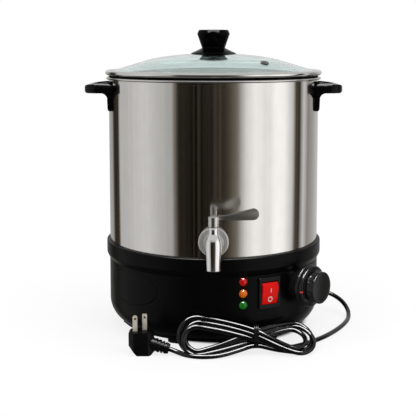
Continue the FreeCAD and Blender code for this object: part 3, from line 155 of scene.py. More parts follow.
# The hank is a figure of eight through the tie. In front the strands fall to the left,
# behind them they rise to the right. Heights of the strands in the tie, in their order.
TIE_X = 57.0
FRONT_Y = -171.5
BACK_Y = -164.5
TIE_HEIGHTS = (20.7, 17.3, 34.0, 24.0, 27.3, 30.7, 14.0)
# Each loop: middle and radius of its round end, and the way from its bottom to its top.
LOOPS = (
    ((-22, -180.5, 21.5), 19.0, (1.2, 13, 35)),
    ((106.2, -156, 17), 20.0, (-2.4, 37, 15)),
    ((-22, -172, 26.5), 24.4, (0, 8.3, 23.6)),
    ((112, -155.7, 15.5), 25.7, (-3.1, 45.5, 23.9)),
    ((-19, -176, 25.8), 19.5, (1.5, 14.5, 32.9)),
    ((109.5, -149, 17), 26.5, (1.5, 23, 13.5)),
)
ROUND_END = (80, 48, 16, -16, -48, -80)     # turns from the end's tip, in degrees
END_REACH = 1.045       # control points stand this much outside the round they make
LEAN_IN = 0.5           # pull of a side towards the tie before it bends to the end
EASE_IN = 0.6           # the side meets the round end this share of its radius away
BOW = 1.5               # the sides bow this far out of a straight line
BOW_AT = 0.4            # share of the way from the round end to the tie
FLOOR_GAP = 0.2


def loop_points(start, finish, middle, radius, rise):
    """Out by the upper side, round the end and back by the lower side."""
    middle = Vector(middle)
    up = Vector(rise).normalized()
    out = Vector((-1, 0, 0)) if middle.x < TIE_X else Vector((1, 0.2, -0.03))
    out = (out - up * out.dot(up)).normalized()
    end = []
    for degrees in ROUND_END:
        turn = math.radians(degrees)
        end.append(middle + (out * math.cos(turn) + up * math.sin(turn)) * radius * END_REACH)
    sides = []
    for tied, corner, bow in ((start, end[0], BOW), (finish, end[-1], -BOW)):
        away = ((tied - corner).normalized() - out * LEAN_IN).normalized()
        easing = corner + away * radius * EASE_IN
        sides.append((easing.lerp(tied, BOW_AT) + up * bow, easing))
    (upper, into), (lower, out_of) = sides
    return [upper, into] + end + [out_of, lower]


def cord_route():
    """Lead from the base, the loops of the hank with the tie between them, and the tail."""
    ties = []
    for i, height in enumerate(TIE_HEIGHTS):
        ties.append(Vector((TIE_X, BACK_Y if i % 2 else FRONT_Y, height)))
    points = [Vector(p) for p in LEAD]
    for i, loop in enumerate(LOOPS):
        points.append(ties[i])
        points += loop_points(ties[i], ties[i + 1], *loop)
    points += [ties[-1]] + [Vector(p) for p in TAIL]
    for point in points:
        point.z = max(point.z, CORD_R + FLOOR_GAP)
    return points


def lay_cord(material):
    """The cord as one smooth tube along its route."""
    curve = bpy.data.curves.new("mains_cord", "CURVE")
    curve.dimensions = "3D"
    spline = curve.splines.new("NURBS")
    route = cord_route()
    spline.points.add(len(route) - 1)
    for point, place in zip(spline.points, route):
        point.co = (*spot(*place), 1.0)
    spline.order_u = 3
    spline.use_endpoint_u = True
    spline.resolution_u = 10
    curve.bevel_depth = CORD_R * MM
    curve.bevel_resolution = 6
    curve.use_fill_caps = True
    curve.materials.append(material)
    return put("mains_cord", curve)


# ---------------------------------------------------------------- materials

def feed(tree, node, given):
    """Sets a node's inputs to plain values, or links sockets to them."""
    for label, value in given.items():
        if isinstance(value, bpy.types.NodeSocket):
            tree.links.new(value, node.inputs[label])
        else:
            node.inputs[label].default_value = value


def add(tree, kind, given=None, **settings):
    """A new node with its settings, and its inputs as given by name or number."""
    node = tree.nodes.new(kind)
    for key, value in settings.items():
        setattr(node, key, value)
    feed(tree, node, given or {})
    return node


def calculate(tree, operation, one, other=None, clamp=False):
    given = {0: one} if other is None else {0: one, 1: other}
    return add(tree, "ShaderNodeMath", given, operation=operation, use_clamp=clamp).outputs[0]


def apart(tree, vector):
    """The three parts of a vector."""
    return add(tree, "ShaderNodeSeparateXYZ", {0: vector}).outputs


def together(tree, **parts):
    """A vector of the parts X, Y and Z that are given, each a socket or a number."""
    return add(tree, "ShaderNodeCombineXYZ", parts).outputs[0]


def span(tree, value, start, end, **settings):
    """Carries a value from the range start to the range end."""
    limits = zip(("From Min", "From Max", "To Min", "To Max"), (*start, *end))
    fade = add(tree, "ShaderNodeMapRange", {"Value": value, **dict(limits)}, **settings)
    return fade.outputs["Result"]


def grain(tree, place, scale, detail=3.0, roughness=0.55):
    """Noise on the piece, as fine as scale per metre."""
    given = {"Vector": place, "Scale": scale, "Detail": detail, "Roughness": roughness}
    return add(tree, "ShaderNodeTexNoise", given).outputs["Fac"]


TONE_SPAN = (0.32, 0.68)    # over these the noise turns a colour from dark to light
NOISE_SPAN = (0.3, 0.7)     # and over these it makes a surface rough


def shade(tree, factor, dark, light):
    ramp = add(tree, "ShaderNodeValToRGB", {"Fac": factor})
    for element, place, colour in zip(ramp.color_ramp.elements, TONE_SPAN, (dark, light)):
        element.position = place
        element.color = (*colour, 1)
    return ramp.outputs["Color"]


def new_finish(name):
    """A new material with its tree, its shader and the place on the piece."""
    material = bpy.data.materials.new(name)
    material.use_nodes = True
    tree = material.node_tree
    place = add(tree, "ShaderNodeTexCoord").outputs["Object"]
    return material, tree, tree.nodes["Principled BSDF"], place


def worn(tree, shader, patches, fine, dark, light, rough, bump, depth):
    """Colour that follows the patches, and roughness and relief that follow the fine noise."""
    relief = add(tree, "ShaderNodeBump", {"Height": fine, "Strength": bump, "Distance": depth})
    feed(tree, shader, {
        "Base Color": shade(tree, patches, dark, light),
        "Roughness": span(tree, fine, NOISE_SPAN, rough),
        "Normal": relief.outputs["Normal"],
    })


def finish_of(name, dark, light, rough, grain_scale=900.0, bump=0.08, depth=0.00012,
              patch_scale=30.0, **fixed):
    """A finish that varies a little in colour, roughness and height over the piece."""
    material, tree, shader, place = new_finish(name)
    fine = grain(tree, place, grain_scale)
    patches = grain(tree, place, patch_scale, detail=4.0)
    worn(tree, shader, patches, fine, dark, light, rough, bump, depth)
    feed(tree, shader, {label.replace("_", " "): value for label, value in fixed.items()})
    return material


def round_the_pot(tree, place, along, up):
    """Coordinates that run round the pot's axis and up it, for grain that follows the sheet."""
    x, y, z = apart(tree, place)
    angle = calculate(tree, "ARCTAN2", x, calculate(tree, "SUBTRACT", y, POT_BACK * MM))
    return together(tree, X=calculate(tree, "MULTIPLY", angle, along),
                    Y=calculate(tree, "MULTIPLY", z, up))


def brushed_steel(name, dark, light, rough, drawn):
    """Sheet steel brushed round the pot. Drawn steel spreads what it mirrors upwards."""
    along, up = 5.0, 1100.0     # strokes per radian round the pot, and per metre up it
    material, tree, shader, place = new_finish(name)
    strokes = grain(tree, round_the_pot(tree, place, along, up), 1.0, detail=5.0, roughness=0.7)
    broad = grain(tree, round_the_pot(tree, place, 2.0 * along, up / 40), 1.0)
    worn(tree, shader, broad, strokes, dark, light, rough, bump=0.04, depth=0.0001)
    tangent = add(tree, "ShaderNodeTangent", direction_type="RADIAL", axis="Z").outputs[0]
    feed(tree, shader, {
        "Metallic": 1.0, "Anisotropic": drawn, "Anisotropic Rotation": 0.25, "Tangent": tangent,
    })
    return material


# Steel sheet: darkest and lightest colour, roughness, and how far reflections are drawn out
SHEETS = {
    "shell_steel": ((0.59, 0.575, 0.55), (0.62, 0.605, 0.58), (0.08, 0.11), 1.0),
    "pot_steel": ((0.54, 0.53, 0.51), (0.62, 0.605, 0.58), (0.16, 0.26), 0.0),
}

# Other bare metals: colour, roughness, and where it matters grain per metre and relief
METALS = {
    "band_steel": ((0.66, 0.65, 0.63), (0.07, 0.12), 300.0, 0.02),
    "eyelet_steel": ((0.2, 0.2, 0.195), (0.16, 0.26)),
    "spigot_steel": ((0.72, 0.715, 0.7), (0.1, 0.16), 700.0, 0.03),
    "lever_steel": ((0.56, 0.55, 0.535), (0.26, 0.34), 1500.0, 0.05),
    "valve_brass": ((0.78, 0.6, 0.32), (0.2, 0.32)),
    "screw_zinc": ((0.6, 0.6, 0.58), (0.25, 0.4)),
    "spreader_aluminium": ((0.78, 0.78, 0.78), (0.3, 0.45)),
    "element_steel": ((0.32, 0.3, 0.27), (0.4, 0.55)),
    "clamp_steel": ((0.5, 0.5, 0.49), (0.3, 0.45)),
    "bulb_copper": ((0.85, 0.45, 0.28), (0.25, 0.4)),
    "thermostat_steel": ((0.55, 0.54, 0.52), (0.28, 0.4)),
    "terminal_brass": ((0.78, 0.6, 0.3), (0.25, 0.4)),
}

# Black plastic and rubber: level of the colour, roughness, gloss, grain per metre and relief
BLACKS = {
    "base_black": (0.0012, (0.26, 0.36), 0.05, 2600.0, 0.07),
    "plate_black": (0.006, (0.42, 0.55), 0.05, 1800.0, 0.2),
    "foot_rubber": (0.006, (0.5, 0.65), 0.05, 1500.0, 0.25),
    "handle_black": (0.0015, (0.1, 0.18), 0.07, 2400.0, 0.04),
    "knob_black": (0.0008, (0.06, 0.1), 0.035, 1400.0, 0.015),
    "dial_black": (0.007, (0.14, 0.2), 0.25, 2400.0, 0.04),
    "switch_black": (0.003, (0.22, 0.32), 0.1, 2200.0, 0.06),
    "cord_black": (0.001, (0.08, 0.13), 0.32, 900.0, 0.03),
    "tie_black": (0.002, (0.15, 0.25), 0.15, 1300.0, 0.1),
    "plug_black": (0.0025, (0.2, 0.3), 0.07, 2200.0, 0.08),
    # Painted shade: black for the ring in the gap under the lid's band, which stands in for the
    # shadow there
    "gap_shadow_black": (0.001, (0.6, 0.75), 0.05, 900.0, 0.08),
    "cutout_black": (0.02, (0.4, 0.55), 0.5, 900.0, 0.08),
}

# Clear coloured plastic of the lamps: darkest and lightest colour
LENSES = {
    "lens_red": ((0.34, 0.001, 0.001), (0.46, 0.004, 0.003)),
    "lens_orange": ((0.5, 0.08, 0.002), (0.62, 0.14, 0.005)),
    "lens_green": ((0.002, 0.1, 0.004), (0.005, 0.17, 0.009)),
}

# The rest: darkest and lightest colour, roughness, and what else differs
OTHERS = {
    "insulation": ((0.62, 0.6, 0.52), (0.75, 0.73, 0.66), (0.85, 0.95),
                   {"grain_scale": 260.0, "bump": 0.5, "depth": 0.001}),
    "terminal_white": ((0.7, 0.7, 0.67), (0.82, 0.81, 0.78), (0.35, 0.5), {}),
    "blade_brass": ((0.62, 0.56, 0.47), (0.8, 0.74, 0.64), (0.25, 0.35),
                    {"grain_scale": 1200.0, "Metallic": 0.4}),
    "flange_steel": ((0.45, 0.44, 0.42), (0.55, 0.54, 0.52), (0.26, 0.34),
                     {"grain_scale": 1500.0, "Metallic": 0.6}),
    "washer_green": ((0.002, 0.02, 0.014), (0.004, 0.036, 0.026), (0.4, 0.5),
                     {"Specular_IOR_Level": 0.1}),
    "gasket": ((0.5, 0.5, 0.48), (0.62, 0.62, 0.6), (0.5, 0.62), {}),
    "mark_red": ((0.55, 0.012, 0.02), (0.7, 0.02, 0.03), (0.3, 0.4), {}),
    "mark_white": ((0.6, 0.48, 0.46), (0.68, 0.57, 0.55), (0.35, 0.45), {}),
    "rocker_red": ((0.53, 0.004, 0.003), (0.62, 0.007, 0.005), (0.16, 0.26),
                   {"grain_scale": 1200.0, "bump": 0.03, "Specular_IOR_Level": 0.06}),
    "lid_glass": ((0.75, 0.885, 0.86), (0.79, 0.915, 0.89), (0.0, 0.01),
                  {"grain_scale": 40.0, "bump": 0.002, "Transmission_Weight": 1.0, "IOR": 1.5}),
}


DARKER = 0.88       # metal's darkest places against its colour
PALER = 1.4         # a black's lightest places against its level
COOLER = 1.02       # a black's blue against its level


def make_finishes():
    """Every finish by its name."""
    made = {name: brushed_steel(name, *row) for name, row in SHEETS.items()}
    for name, (colour, rough, *more) in METALS.items():
        dark = tuple(DARKER * v for v in colour)
        made[name] = finish_of(name, dark, colour, rough, *more, Metallic=1.0)
    for name, (level, rough, gloss, scale, bump) in BLACKS.items():
        tint = (level, level, level * COOLER)
        pale = tuple(PALER * v for v in tint)
        made[name] = finish_of(name, tint, pale, rough, scale, bump, Specular_IOR_Level=gloss)
    for name, (dark, light) in LENSES.items():
        made[name] = finish_of(name, dark, light, (0.05, 0.1), 500.0, 0.02, patch_scale=220.0,
                               Specular_IOR_Level=0.35)
    for name, (dark, light, rough, more) in OTHERS.items():
        made[name] = finish_of(name, dark, light, rough, **more)
    return made


# ---------------------------------------------------------------- mesh helpers

NEARLY_STRAIGHT = 0.02      # angle, in radians, that needs no rounding
NEARLY_HALF = 0.48          # most of a side that one corner may take up
NEARLY_FLAT = 0.6           # faces that meet at less than this angle, in degrees, are one
ON_AXIS = 1e-6              # a radius smaller than this is a point on the axis
JOIN = 1e-7                 # points nearer than this are one, in metres
NODE_JOIN = 2e-6            # the same for the construction's shapes


def rounded(corners, radii, steps=5):
    """A closed outline of (x, y) pairs, its corners rounded by a list of radii or by one."""
    out = []
    count = len(corners)
    for i, corner in enumerate(corners):
        radius = radii[i] if isinstance(radii, list) else radii
        here = Vector(corner)
        back = Vector(corners[i - 1]) - here
        on = Vector(corners[(i + 1) % count]) - here
        opening = back.angle(on)
        if opening > math.pi - NEARLY_STRAIGHT:
            out.append(here)
            continue
        room_for = NEARLY_HALF * min(back.length, on.length)
        reach = min(radius / math.tan(opening / 2), room_for)
        start = here + back.normalized() * reach
        end = here + on.normalized() * reach
        for k in range(steps + 1):
            t = k / steps
            out.append((1 - t) ** 2 * start + 2 * t * (1 - t) * here + t ** 2 * end)
    return [(p[0], p[1]) for p in out]


def oblong(near, far, low, high, radius, steps=5):
    """Outline of a ring's four-cornered section, its corners rounded."""
    return rounded([(near, low), (far, low), (far, high), (near, high)], radius, steps)


def raised(outline, level):
    """An outline whose heights were counted from a level."""
    return [(across, level + height) for across, height in outline]


def arc(centre, radius, start, end, steps):
    """Points on an arc, angles in degrees."""
    turns = [math.radians(start + (end - start) * i / steps) for i in range(steps + 1)]
    return [(centre[0] + radius * math.cos(a), centre[1] + radius * math.sin(a)) for a in turns]


def piece_from(name, mesh_data, finish, body, replaces=(), sharp=35.0):
    """Makes a finished piece of a bmesh: closed, outward and smooth but for its edges."""
    bmesh.ops.remove_doubles(mesh_data, verts=mesh_data.verts, dist=JOIN)
    bmesh.ops.recalc_face_normals(mesh_data, faces=mesh_data.faces)
    mesh = bpy.data.meshes.new(name)
    mesh_data.to_mesh(mesh)
    mesh_data.free()
    mesh.materials.clear()
    mesh.materials.append(FINISH[finish])
    mesh.shade_smooth()
    mesh.set_sharp_from_angle(angle=math.radians(sharp))
    piece = put(name, mesh)
    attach(piece, body)
    if replaces:
        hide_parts(*replaces)
    return piece


def turned(profile, segments, matrix=None):
    """bmesh of a closed (radius, height) outline turned about the Z axis, in metres."""
    made = bmesh.new()
    rings = []
    for radius, height in profile:
        if radius < ON_AXIS:
            rings.append([made.verts.new((0, 0, height))] * segments)
            continue
        rings.append([
            made.verts.new((radius * math.sin(a), -radius * math.cos(a), height))
            for a in (2 * math.pi * i / segments for i in range(segments))
        ])
    for one, other in zip(rings, rings[1:] + rings[:1]):
        for i in range(segments):
            j = (i + 1) % segments
            corners = []
            for vert in (one[i], one[j], other[j], other[i]):
                if vert not in corners:
                    corners.append(vert)
            if len(corners) > 2:
                made.faces.new(corners)
    made.transform((upright() if matrix is None else matrix) @ Matrix.Scale(MM, 4))
    return made


def layered(layers, matrix):
    """bmesh of a closed block whose (x, y, z) outlines lie one on the other, in metres."""
    made = bmesh.new()
    rings = [[made.verts.new(point) for point in layer] for layer in layers]
    for one, other in zip(rings, rings[1:]):
        for i in range(len(one)):
            j = (i + 1) % len(one)
            made.faces.new((one[i], one[j], other[j], other[i]))
    made.faces.new(rings[0][::-1])
    made.faces.new(rings[-1])
    made.transform(matrix @ Matrix.Scale(MM, 4))
    return made


def upright(x=0.0, y=0.0, z=0.0):
    """Stands a piece at a place in the pot's frame."""
    return Matrix.Translation(spot(x, y, z))


def turn(degrees, axis):
    return Matrix.Rotation(math.radians(degrees), 4, axis)


def shift(x, y, z):
    return Matrix.Translation(Vector((x, y, z)) * MM)


def outward(angle, z):
    """Stands a piece made about the Z axis so that it points out of the wall."""
    return upright() @ turn(angle, "Z") @ shift(0, 0, z) @ turn(90, "X")


def pointing(place, way):
    """Stands a piece made about the Z axis at a place, so that it points along a way."""
    return upright(*place) @ Vector((0, 0, 1)).rotation_difference(way).to_matrix().to_4x4()


def softened(node, width, sharp=35.0):
    """bmesh of a node's own shape with its sharp edges eased by a width."""
    made = bmesh.new()
    made.from_mesh(frame["nodes"][node].data)
    bmesh.ops.remove_doubles(made, verts=made.verts, dist=NODE_JOIN)
    bmesh.ops.dissolve_limit(made, angle_limit=math.radians(NEARLY_FLAT), verts=made.verts,
                             edges=made.edges)
    edges = [e for e in made.edges if e.is_manifold and e.calc_face_angle(0) > math.radians(sharp)]
    bmesh.ops.bevel(made, geom=edges, offset=width * MM, segments=2, profile=0.5, affect="EDGES",
                    clamp_overlap=True)
    return made


def joined(*parts):
    """One bmesh of several."""
    made = bmesh.new()
    for part in parts:
        mesh = bpy.data.meshes.new("part")
        part.to_mesh(mesh)
        part.free()
        made.from_mesh(mesh)
        bpy.data.meshes.remove(mesh)
    return made


# ---------------------------------------------------------------- rules for what repeats

def rule(name, sizes):
    """A node tree that reshapes a mesh by named sizes, with its input and output nodes."""
    tree = bpy.data.node_groups.new(name, "GeometryNodeTree")
    face = tree.interface
    face.new_socket("Mesh", in_out="INPUT", socket_type="NodeSocketGeometry")
    for label, value in sizes.items():
        kind = "NodeSocketInt" if isinstance(value, int) else "NodeSocketFloat"
        face.new_socket(label, in_out="INPUT", socket_type=kind).default_value = value
    face.new_socket("Mesh", in_out="OUTPUT", socket_type="NodeSocketGeometry")
    return tree, add(tree, "NodeGroupInput").outputs, add(tree, "NodeGroupOutput")


def finish_rule(tree, geometry, result, finish):
    """Ends a tree: real geometry with its finish."""
    real = add(tree, "GeometryNodeRealizeInstances", {"Geometry": geometry}).outputs[0]
    coat = add(tree, "GeometryNodeSetMaterial", {"Geometry": real, "Material": FINISH[finish]})
    feed(tree, result, {"Mesh": coat.outputs[0]})


def worked(made, tree, **sizes):
    """bmesh of what a tree makes of a bmesh, with the tree's named sizes set."""
    mesh = bpy.data.meshes.new("blank")
    made.to_mesh(mesh)
    made.free()
    blank = put("blank", mesh)
    modifier = blank.modifiers.new("rule", "NODES")
    modifier.node_group = tree
    for item in tree.interface.items_tree:
        if item.in_out == "INPUT" and item.name in sizes:
            modifier[item.identifier] = sizes[item.name]
    evaluated = blank.evaluated_get(bpy.context.evaluated_depsgraph_get())
    shaped = bpy.data.meshes.new_from_object(evaluated)
    bpy.data.objects.remove(blank)
    made = bmesh.new()
    made.from_mesh(shaped)
    bpy.data.meshes.remove(shaped)
    return made


def times_index(tree, step):
    """A step times the number of the copy, from 0 on."""
    return calculate(tree, "MULTIPLY", add(tree, "GeometryNodeInputIndex").outputs[0], step)


def copies(tree, given, result, finish, offset, **placing):
    """A row of copies, offset from each other, with a rotation or a scale for each."""
    row = add(tree, "GeometryNodeMeshLine", {"Count": given["Count"], "Offset": offset})
    placing.update(Points=row.outputs["Mesh"], Instance=given["Mesh"])
    place = add(tree, "GeometryNodeInstanceOnPoints", placing)
    finish_rule(tree, place.outputs["Instances"], result, finish)
    return tree


def ring_rule(finish):
    """Copies of a piece round the Z axis."""
    tree, given, result = rule("copies_round_an_axis", {"Count": 6, "First": 0.0, "Step": 60.0})
    angle = calculate(tree, "ADD", times_index(tree, given["Step"]), given["First"])
    way = together(tree, Z=calculate(tree, "RADIANS", angle))
    return copies(tree, given, result, finish, (0, 0, 0), Rotation=way)


def row_rule(finish):
    """Copies of a piece along the Z axis, each smaller than the one before."""
    tree, given, result = rule("copies_in_a_row", {"Count": 5, "Pitch": 0.004, "Shrink": 0.05})
    width = calculate(tree, "SUBTRACT", 1.0, times_index(tree, given["Shrink"]))
    size = together(tree, X=width, Y=width, Z=1.0)
    return copies(tree, given, result, finish, together(tree, Z=given["Pitch"]), Scale=size)


FLUTE_EDGE = 0.8        # below 1 a flute gets steeper sides and a broader floor
FLUTE_REACH = 0.0012    # flutes touch only what lies this near the grip's side, in metres


def flute_rule(finish):
    """Presses flutes into the side of a turned grip, between two heights."""
    sizes = {"Flutes": 18, "Depth": 0.0007, "Grip radius": 0.022, "Low": 0.0, "High": 1.0,
             "Ease": 0.001}
    tree, given, result = rule("fluted_grip", sizes)

    def do(operation, one, other=None, clamp=False):
        return calculate(tree, operation, one, other, clamp)

    x, y, z = apart(tree, add(tree, "GeometryNodeInputPosition").outputs[0])
    across = do("SQRT", do("ADD", do("MULTIPLY", x, x), do("MULTIPLY", y, y)))
    wave = do("COSINE", do("MULTIPLY", do("ARCTAN2", x, y), given["Flutes"]))
    wave = do("POWER", do("MAXIMUM", wave, 0.0), FLUTE_EDGE)
    above = do("DIVIDE", do("SUBTRACT", z, given["Low"]), given["Ease"], clamp=True)
    below = do("DIVIDE", do("SUBTRACT", given["High"], z), given["Ease"], clamp=True)
    outside = do("GREATER_THAN", across, do("SUBTRACT", given["Grip radius"], FLUTE_REACH))
    press = do("MULTIPLY", do("MULTIPLY", above, below), outside)
    press = do("MULTIPLY", do("MULTIPLY", press, wave), given["Depth"])
    left = do("SUBTRACT", 1.0, do("DIVIDE", press, across))
    there = together(tree, X=do("MULTIPLY", x, left), Y=do("MULTIPLY", y, left), Z=z)
    move = add(tree, "GeometryNodeSetPosition", {"Geometry": given["Mesh"], "Position": there})
    finish_rule(tree, move.outputs["Geometry"], result, finish)
    return tree


def winding_rule(finish):
    """Turns of a thin strand wound close round an oval bundle."""
    sizes = {"Turns": 3.0, "Half width": 0.008, "Half height": 0.014, "Spread": 0.006,
             "Strand": 0.001}
    tree, given, result = rule("wound_tie", sizes)
    coil = add(tree, "GeometryNodeCurveSpiral", {
        "Resolution": 40, "Start Radius": 1.0, "End Radius": 1.0,
        "Rotations": given["Turns"], "Height": given["Spread"],
    })
    oval = together(tree, X=given["Half width"], Y=given["Half height"], Z=1.0)
    fit = add(tree, "GeometryNodeTransform", {"Geometry": coil.outputs["Curve"], "Scale": oval})
    section = add(tree, "GeometryNodeCurvePrimitiveCircle", {
        "Resolution": 10, "Radius": given["Strand"],
    })
    strand = add(tree, "GeometryNodeCurveToMesh", {
        "Curve": fit.outputs["Geometry"], "Profile Curve": section.outputs["Curve"],
        "Fill Caps": True,
    })
    finish_rule(tree, strand.outputs["Mesh"], result, finish)
    return tree


FINISH = make_finishes()
stand_camera()


# ---------------------------------------------------------------- steel pot and lid

def steel_shell():
    wall = oblong(SHELL_IN, SHELL_R, SHELL_FOOT, SHELL_TOP, 0.1)
    piece_from("shell_wall", turned(wall, WALL_ROUND), "shell_steel", MELTER, ["outer_shell"])


def inner_pot():
    """Pot with a rounded floor corner and its rim rolled over into a round bead."""
    bead = arc((RIM_R, RIM_Z), RIM_BEAD_R, 160, -140, 20)
    wall = [(0, 137.0), (144.2, 137.0)] + arc((144.2, 142.0), 5.0, -80, 0, 6)
    rim = [(149.2, 366.8), (150.2, 368.0), (155.0, 368.1)] + bead[::-1]
    inside = [(152.0, RIM_Z + 0.6), (149.4, 369.4), (POT_R, 368.2)]
    floor = arc((144.0, 142.2), 4.0, 0, -80, 6) + [(143.0, POT_FLOOR), (0, POT_FLOOR)]
    made = turned(wall + rim + inside + floor, POT_ROUND)
    piece_from("pot", made, "pot_steel", MELTER, ["inner_pot"], sharp=50)


SKIRT_SINK = 0.04       # under the skirt the pane is thicker by this share
BREAK_EASE = 9.0        # reach of the rounding between crown and skirt


def glass_height(radius, below=0.0):
    """Height of the pane: a shallow crown that turns down into a steeper skirt."""
    crown = math.sqrt((GLASS_CROWN - below) ** 2 - min(radius, GLASS_BREAK) ** 2)
    beyond = max(0.0, radius - GLASS_BREAK)
    sink = below * SKIRT_SINK if beyond else 0
    return GLASS_TOP - GLASS_CROWN + crown - beyond * GLASS_FALL - sink


def eased_height(radius, below=0.0):
    """Height of the pane with the break between crown and skirt rounded."""
    if abs(radius - GLASS_BREAK) > 2 * BREAK_EASE:
        return glass_height(radius, below)
    spots = [glass_height(abs(radius + BREAK_EASE * k / 4), below) for k in range(-4, 5)]
    return sum(spots) / len(spots)


def glass_pane():
    hole, edge, rings = 3.6, GLASS_EDGE, 40
    radii = [hole] + [edge * i / rings for i in range(2, rings)] + [edge - 1.0]
    top = [(r, eased_height(r)) for r in radii]
    under = [(r, eased_height(r, GLASS_THICK)) for r in reversed(radii)]
    rim = [(edge, eased_height(edge) - 1.0), (edge, eased_height(edge, GLASS_THICK) + 1.0)]
    made = turned(top + rim + under, LID_ROUND)
    piece_from("glass_pane", made, "lid_glass", LID, ["lid_glass"])


def steel_band():
    """Rolled band round the glass, with the lip that centres the lid in the pot, and a black ring
    of painted shade in the gap under it.
    """
    # Black ring between the band and the pot's rim: painted shade, a dark piece put where there is
    # only the gap's shadow
    gap_shadow_outline = oblong(152.3, 155.4, 370.2, 373.45, 0.6)
    ring = piece_from("gap_shadow_ring", turned(gap_shadow_outline, LID_ROUND), "gap_shadow_black", LID)
    roll = arc((157.35, 377.15), 3.65, -92, 88, 22)
    inside = [
        (151.6, 380.7), (150.5, 380.45), (150.0, 380.0), (152.55, 379.27), (152.55, 375.05),
        (146.3, 375.05), (146, 374.8), (146, 367.5), (147.2, 367.5), (147.2, 369.9),
        (152.2, 369.9), (152.2, 373.5),
    ]
    made = turned(roll + inside, WALL_ROUND)
    piece_from("lid_rim_band", made, "band_steel", LID, ["lid_band"], sharp=50)


def turned_knob():
    """Knob with a flared foot, a waist and a flat polished top."""
    foot_r = 33.8
    foot = glass_height(foot_r) + 0.12
    cap = [(0, 439.7), (19.4, 439.8)] + arc((20.9, 438.6), 1.4, 88, 20, 5)
    side = [
        (23.9, 435.3), (24.2, 434.2), (23.9, 432.9), (22.7, 429.4), (19.6, 420.5), (17.7, 415.0),
        (17.2, 414.3), (17.6, 413.2), (18.7, 412.4), (21.0, 411.3), (26.0, 409.0), (31.5, 406.5),
    ]
    rim = [(33.2, 405.5), (foot_r, 405.0), (foot_r, foot + 0.1), (33.5, foot)]
    under = [(17.0, glass_height(17.0) + 0.15), (3.0, GLASS_TOP + 0.12), (3.0, 426.0), (0, 426.0)]
    made = turned(cap + side + rim + under, KNOB_ROUND)
    piece_from("turned_knob", made, "knob_black", LID, ["lid_knob"], sharp=32)


def vent():
    """Flared eyelet in the glass, square to its slope."""
    ring_r = GLASS_EDGE - 44.4
    about = math.radians(42.0)
    away = Vector((math.sin(about), -math.cos(about), 0))
    lean = math.atan(GLASS_FALL)
    way = away * math.sin(lean) + Vector((0, 0, math.cos(lean)))
    place = away * ring_r
    profile = [
        (2.6, -5.1), (5.8, -5.1), (5.8, -4.2), (4.4, -4.15), (4.4, 0.2), (6.15, 0.2), (6.2, 0.7),
    ]
    profile += arc((4.4, 0.1), 1.9, 20, 120, 8) + [(2.9, 1.2), (2.6, 0.6)]
    made = turned(profile, 64, pointing((place.x, place.y, glass_height(ring_r)), way))
    piece_from("vent_ring", made, "eyelet_steel", LID, ["vent_eyelet"], sharp=40)


# ---------------------------------------------------------------- base and collar

def collar():
    """Moulded ring that covers the gap between shell and base."""
    corners = [
        (BASE_R, BASE_TOP), (160.2, 109), (160.8, 111), (160.8, 127.8), (159.6, COLLAR_TOP),
        (156.15, COLLAR_TOP), (156.15, SHELL_FOOT), (150, SHELL_FOOT), (150, 95), (153.55, 95),
        (153.55, BASE_TOP),
    ]
    radii = [0.2, 0.8, 1.2, 1.6, 1.6, 0.5, 0.1, 0.3, 0.3, 0.3, 0.1]
    made = turned(rounded(corners, radii), WALL_ROUND)
    piece_from("collar", made, "base_black", MELTER, ["collar_ring"])


# Oval line in the base: its middle, in radians round the pot and in height, half its width
# and height, and the width and depth of the line
OVAL_ANGLE = -132.6 / BASE_R
OVAL_Z = 75.5
OVAL_HALF = (52.4, 24.4)
OVAL_LINE = 0.9
OVAL_DEEP = 0.55
OVAL_REACH = (0.8, 1.2)     # shares of the oval's size between which the wall is pressed in
ROW_STEP = 0.55         # height of a row of the wall at the oval line
COLUMN_STEP = 0.8       # width of a column there
WIDE_STEP = 4.0         # width of a column elsewhere


def wall_stops(reach, fine, coarse, whole):
    """Places along a line, close together within reach of the middle and wide beyond it."""
    near = [-reach + fine * i for i in range(int(2 * reach / fine) + 1)]
    count = max(1, round((whole - 2 * reach) / coarse))
    beyond = [reach + (whole - 2 * reach) * i / count for i in range(1, count)]
    return near + beyond


def oval_dip(along, height):
    """Depth of the pressed oval line at a place on the wall."""
    wide, tall = OVAL_HALF
    off = math.hypot(along / wide, height / tall)
    if off < OVAL_REACH[0] or off > OVAL_REACH[1]:
        return 0.0
    slope = math.hypot(along / wide ** 2, height / tall ** 2) / off
    return OVAL_DEEP * math.exp(-((off - 1.0) / slope / OVAL_LINE) ** 2)


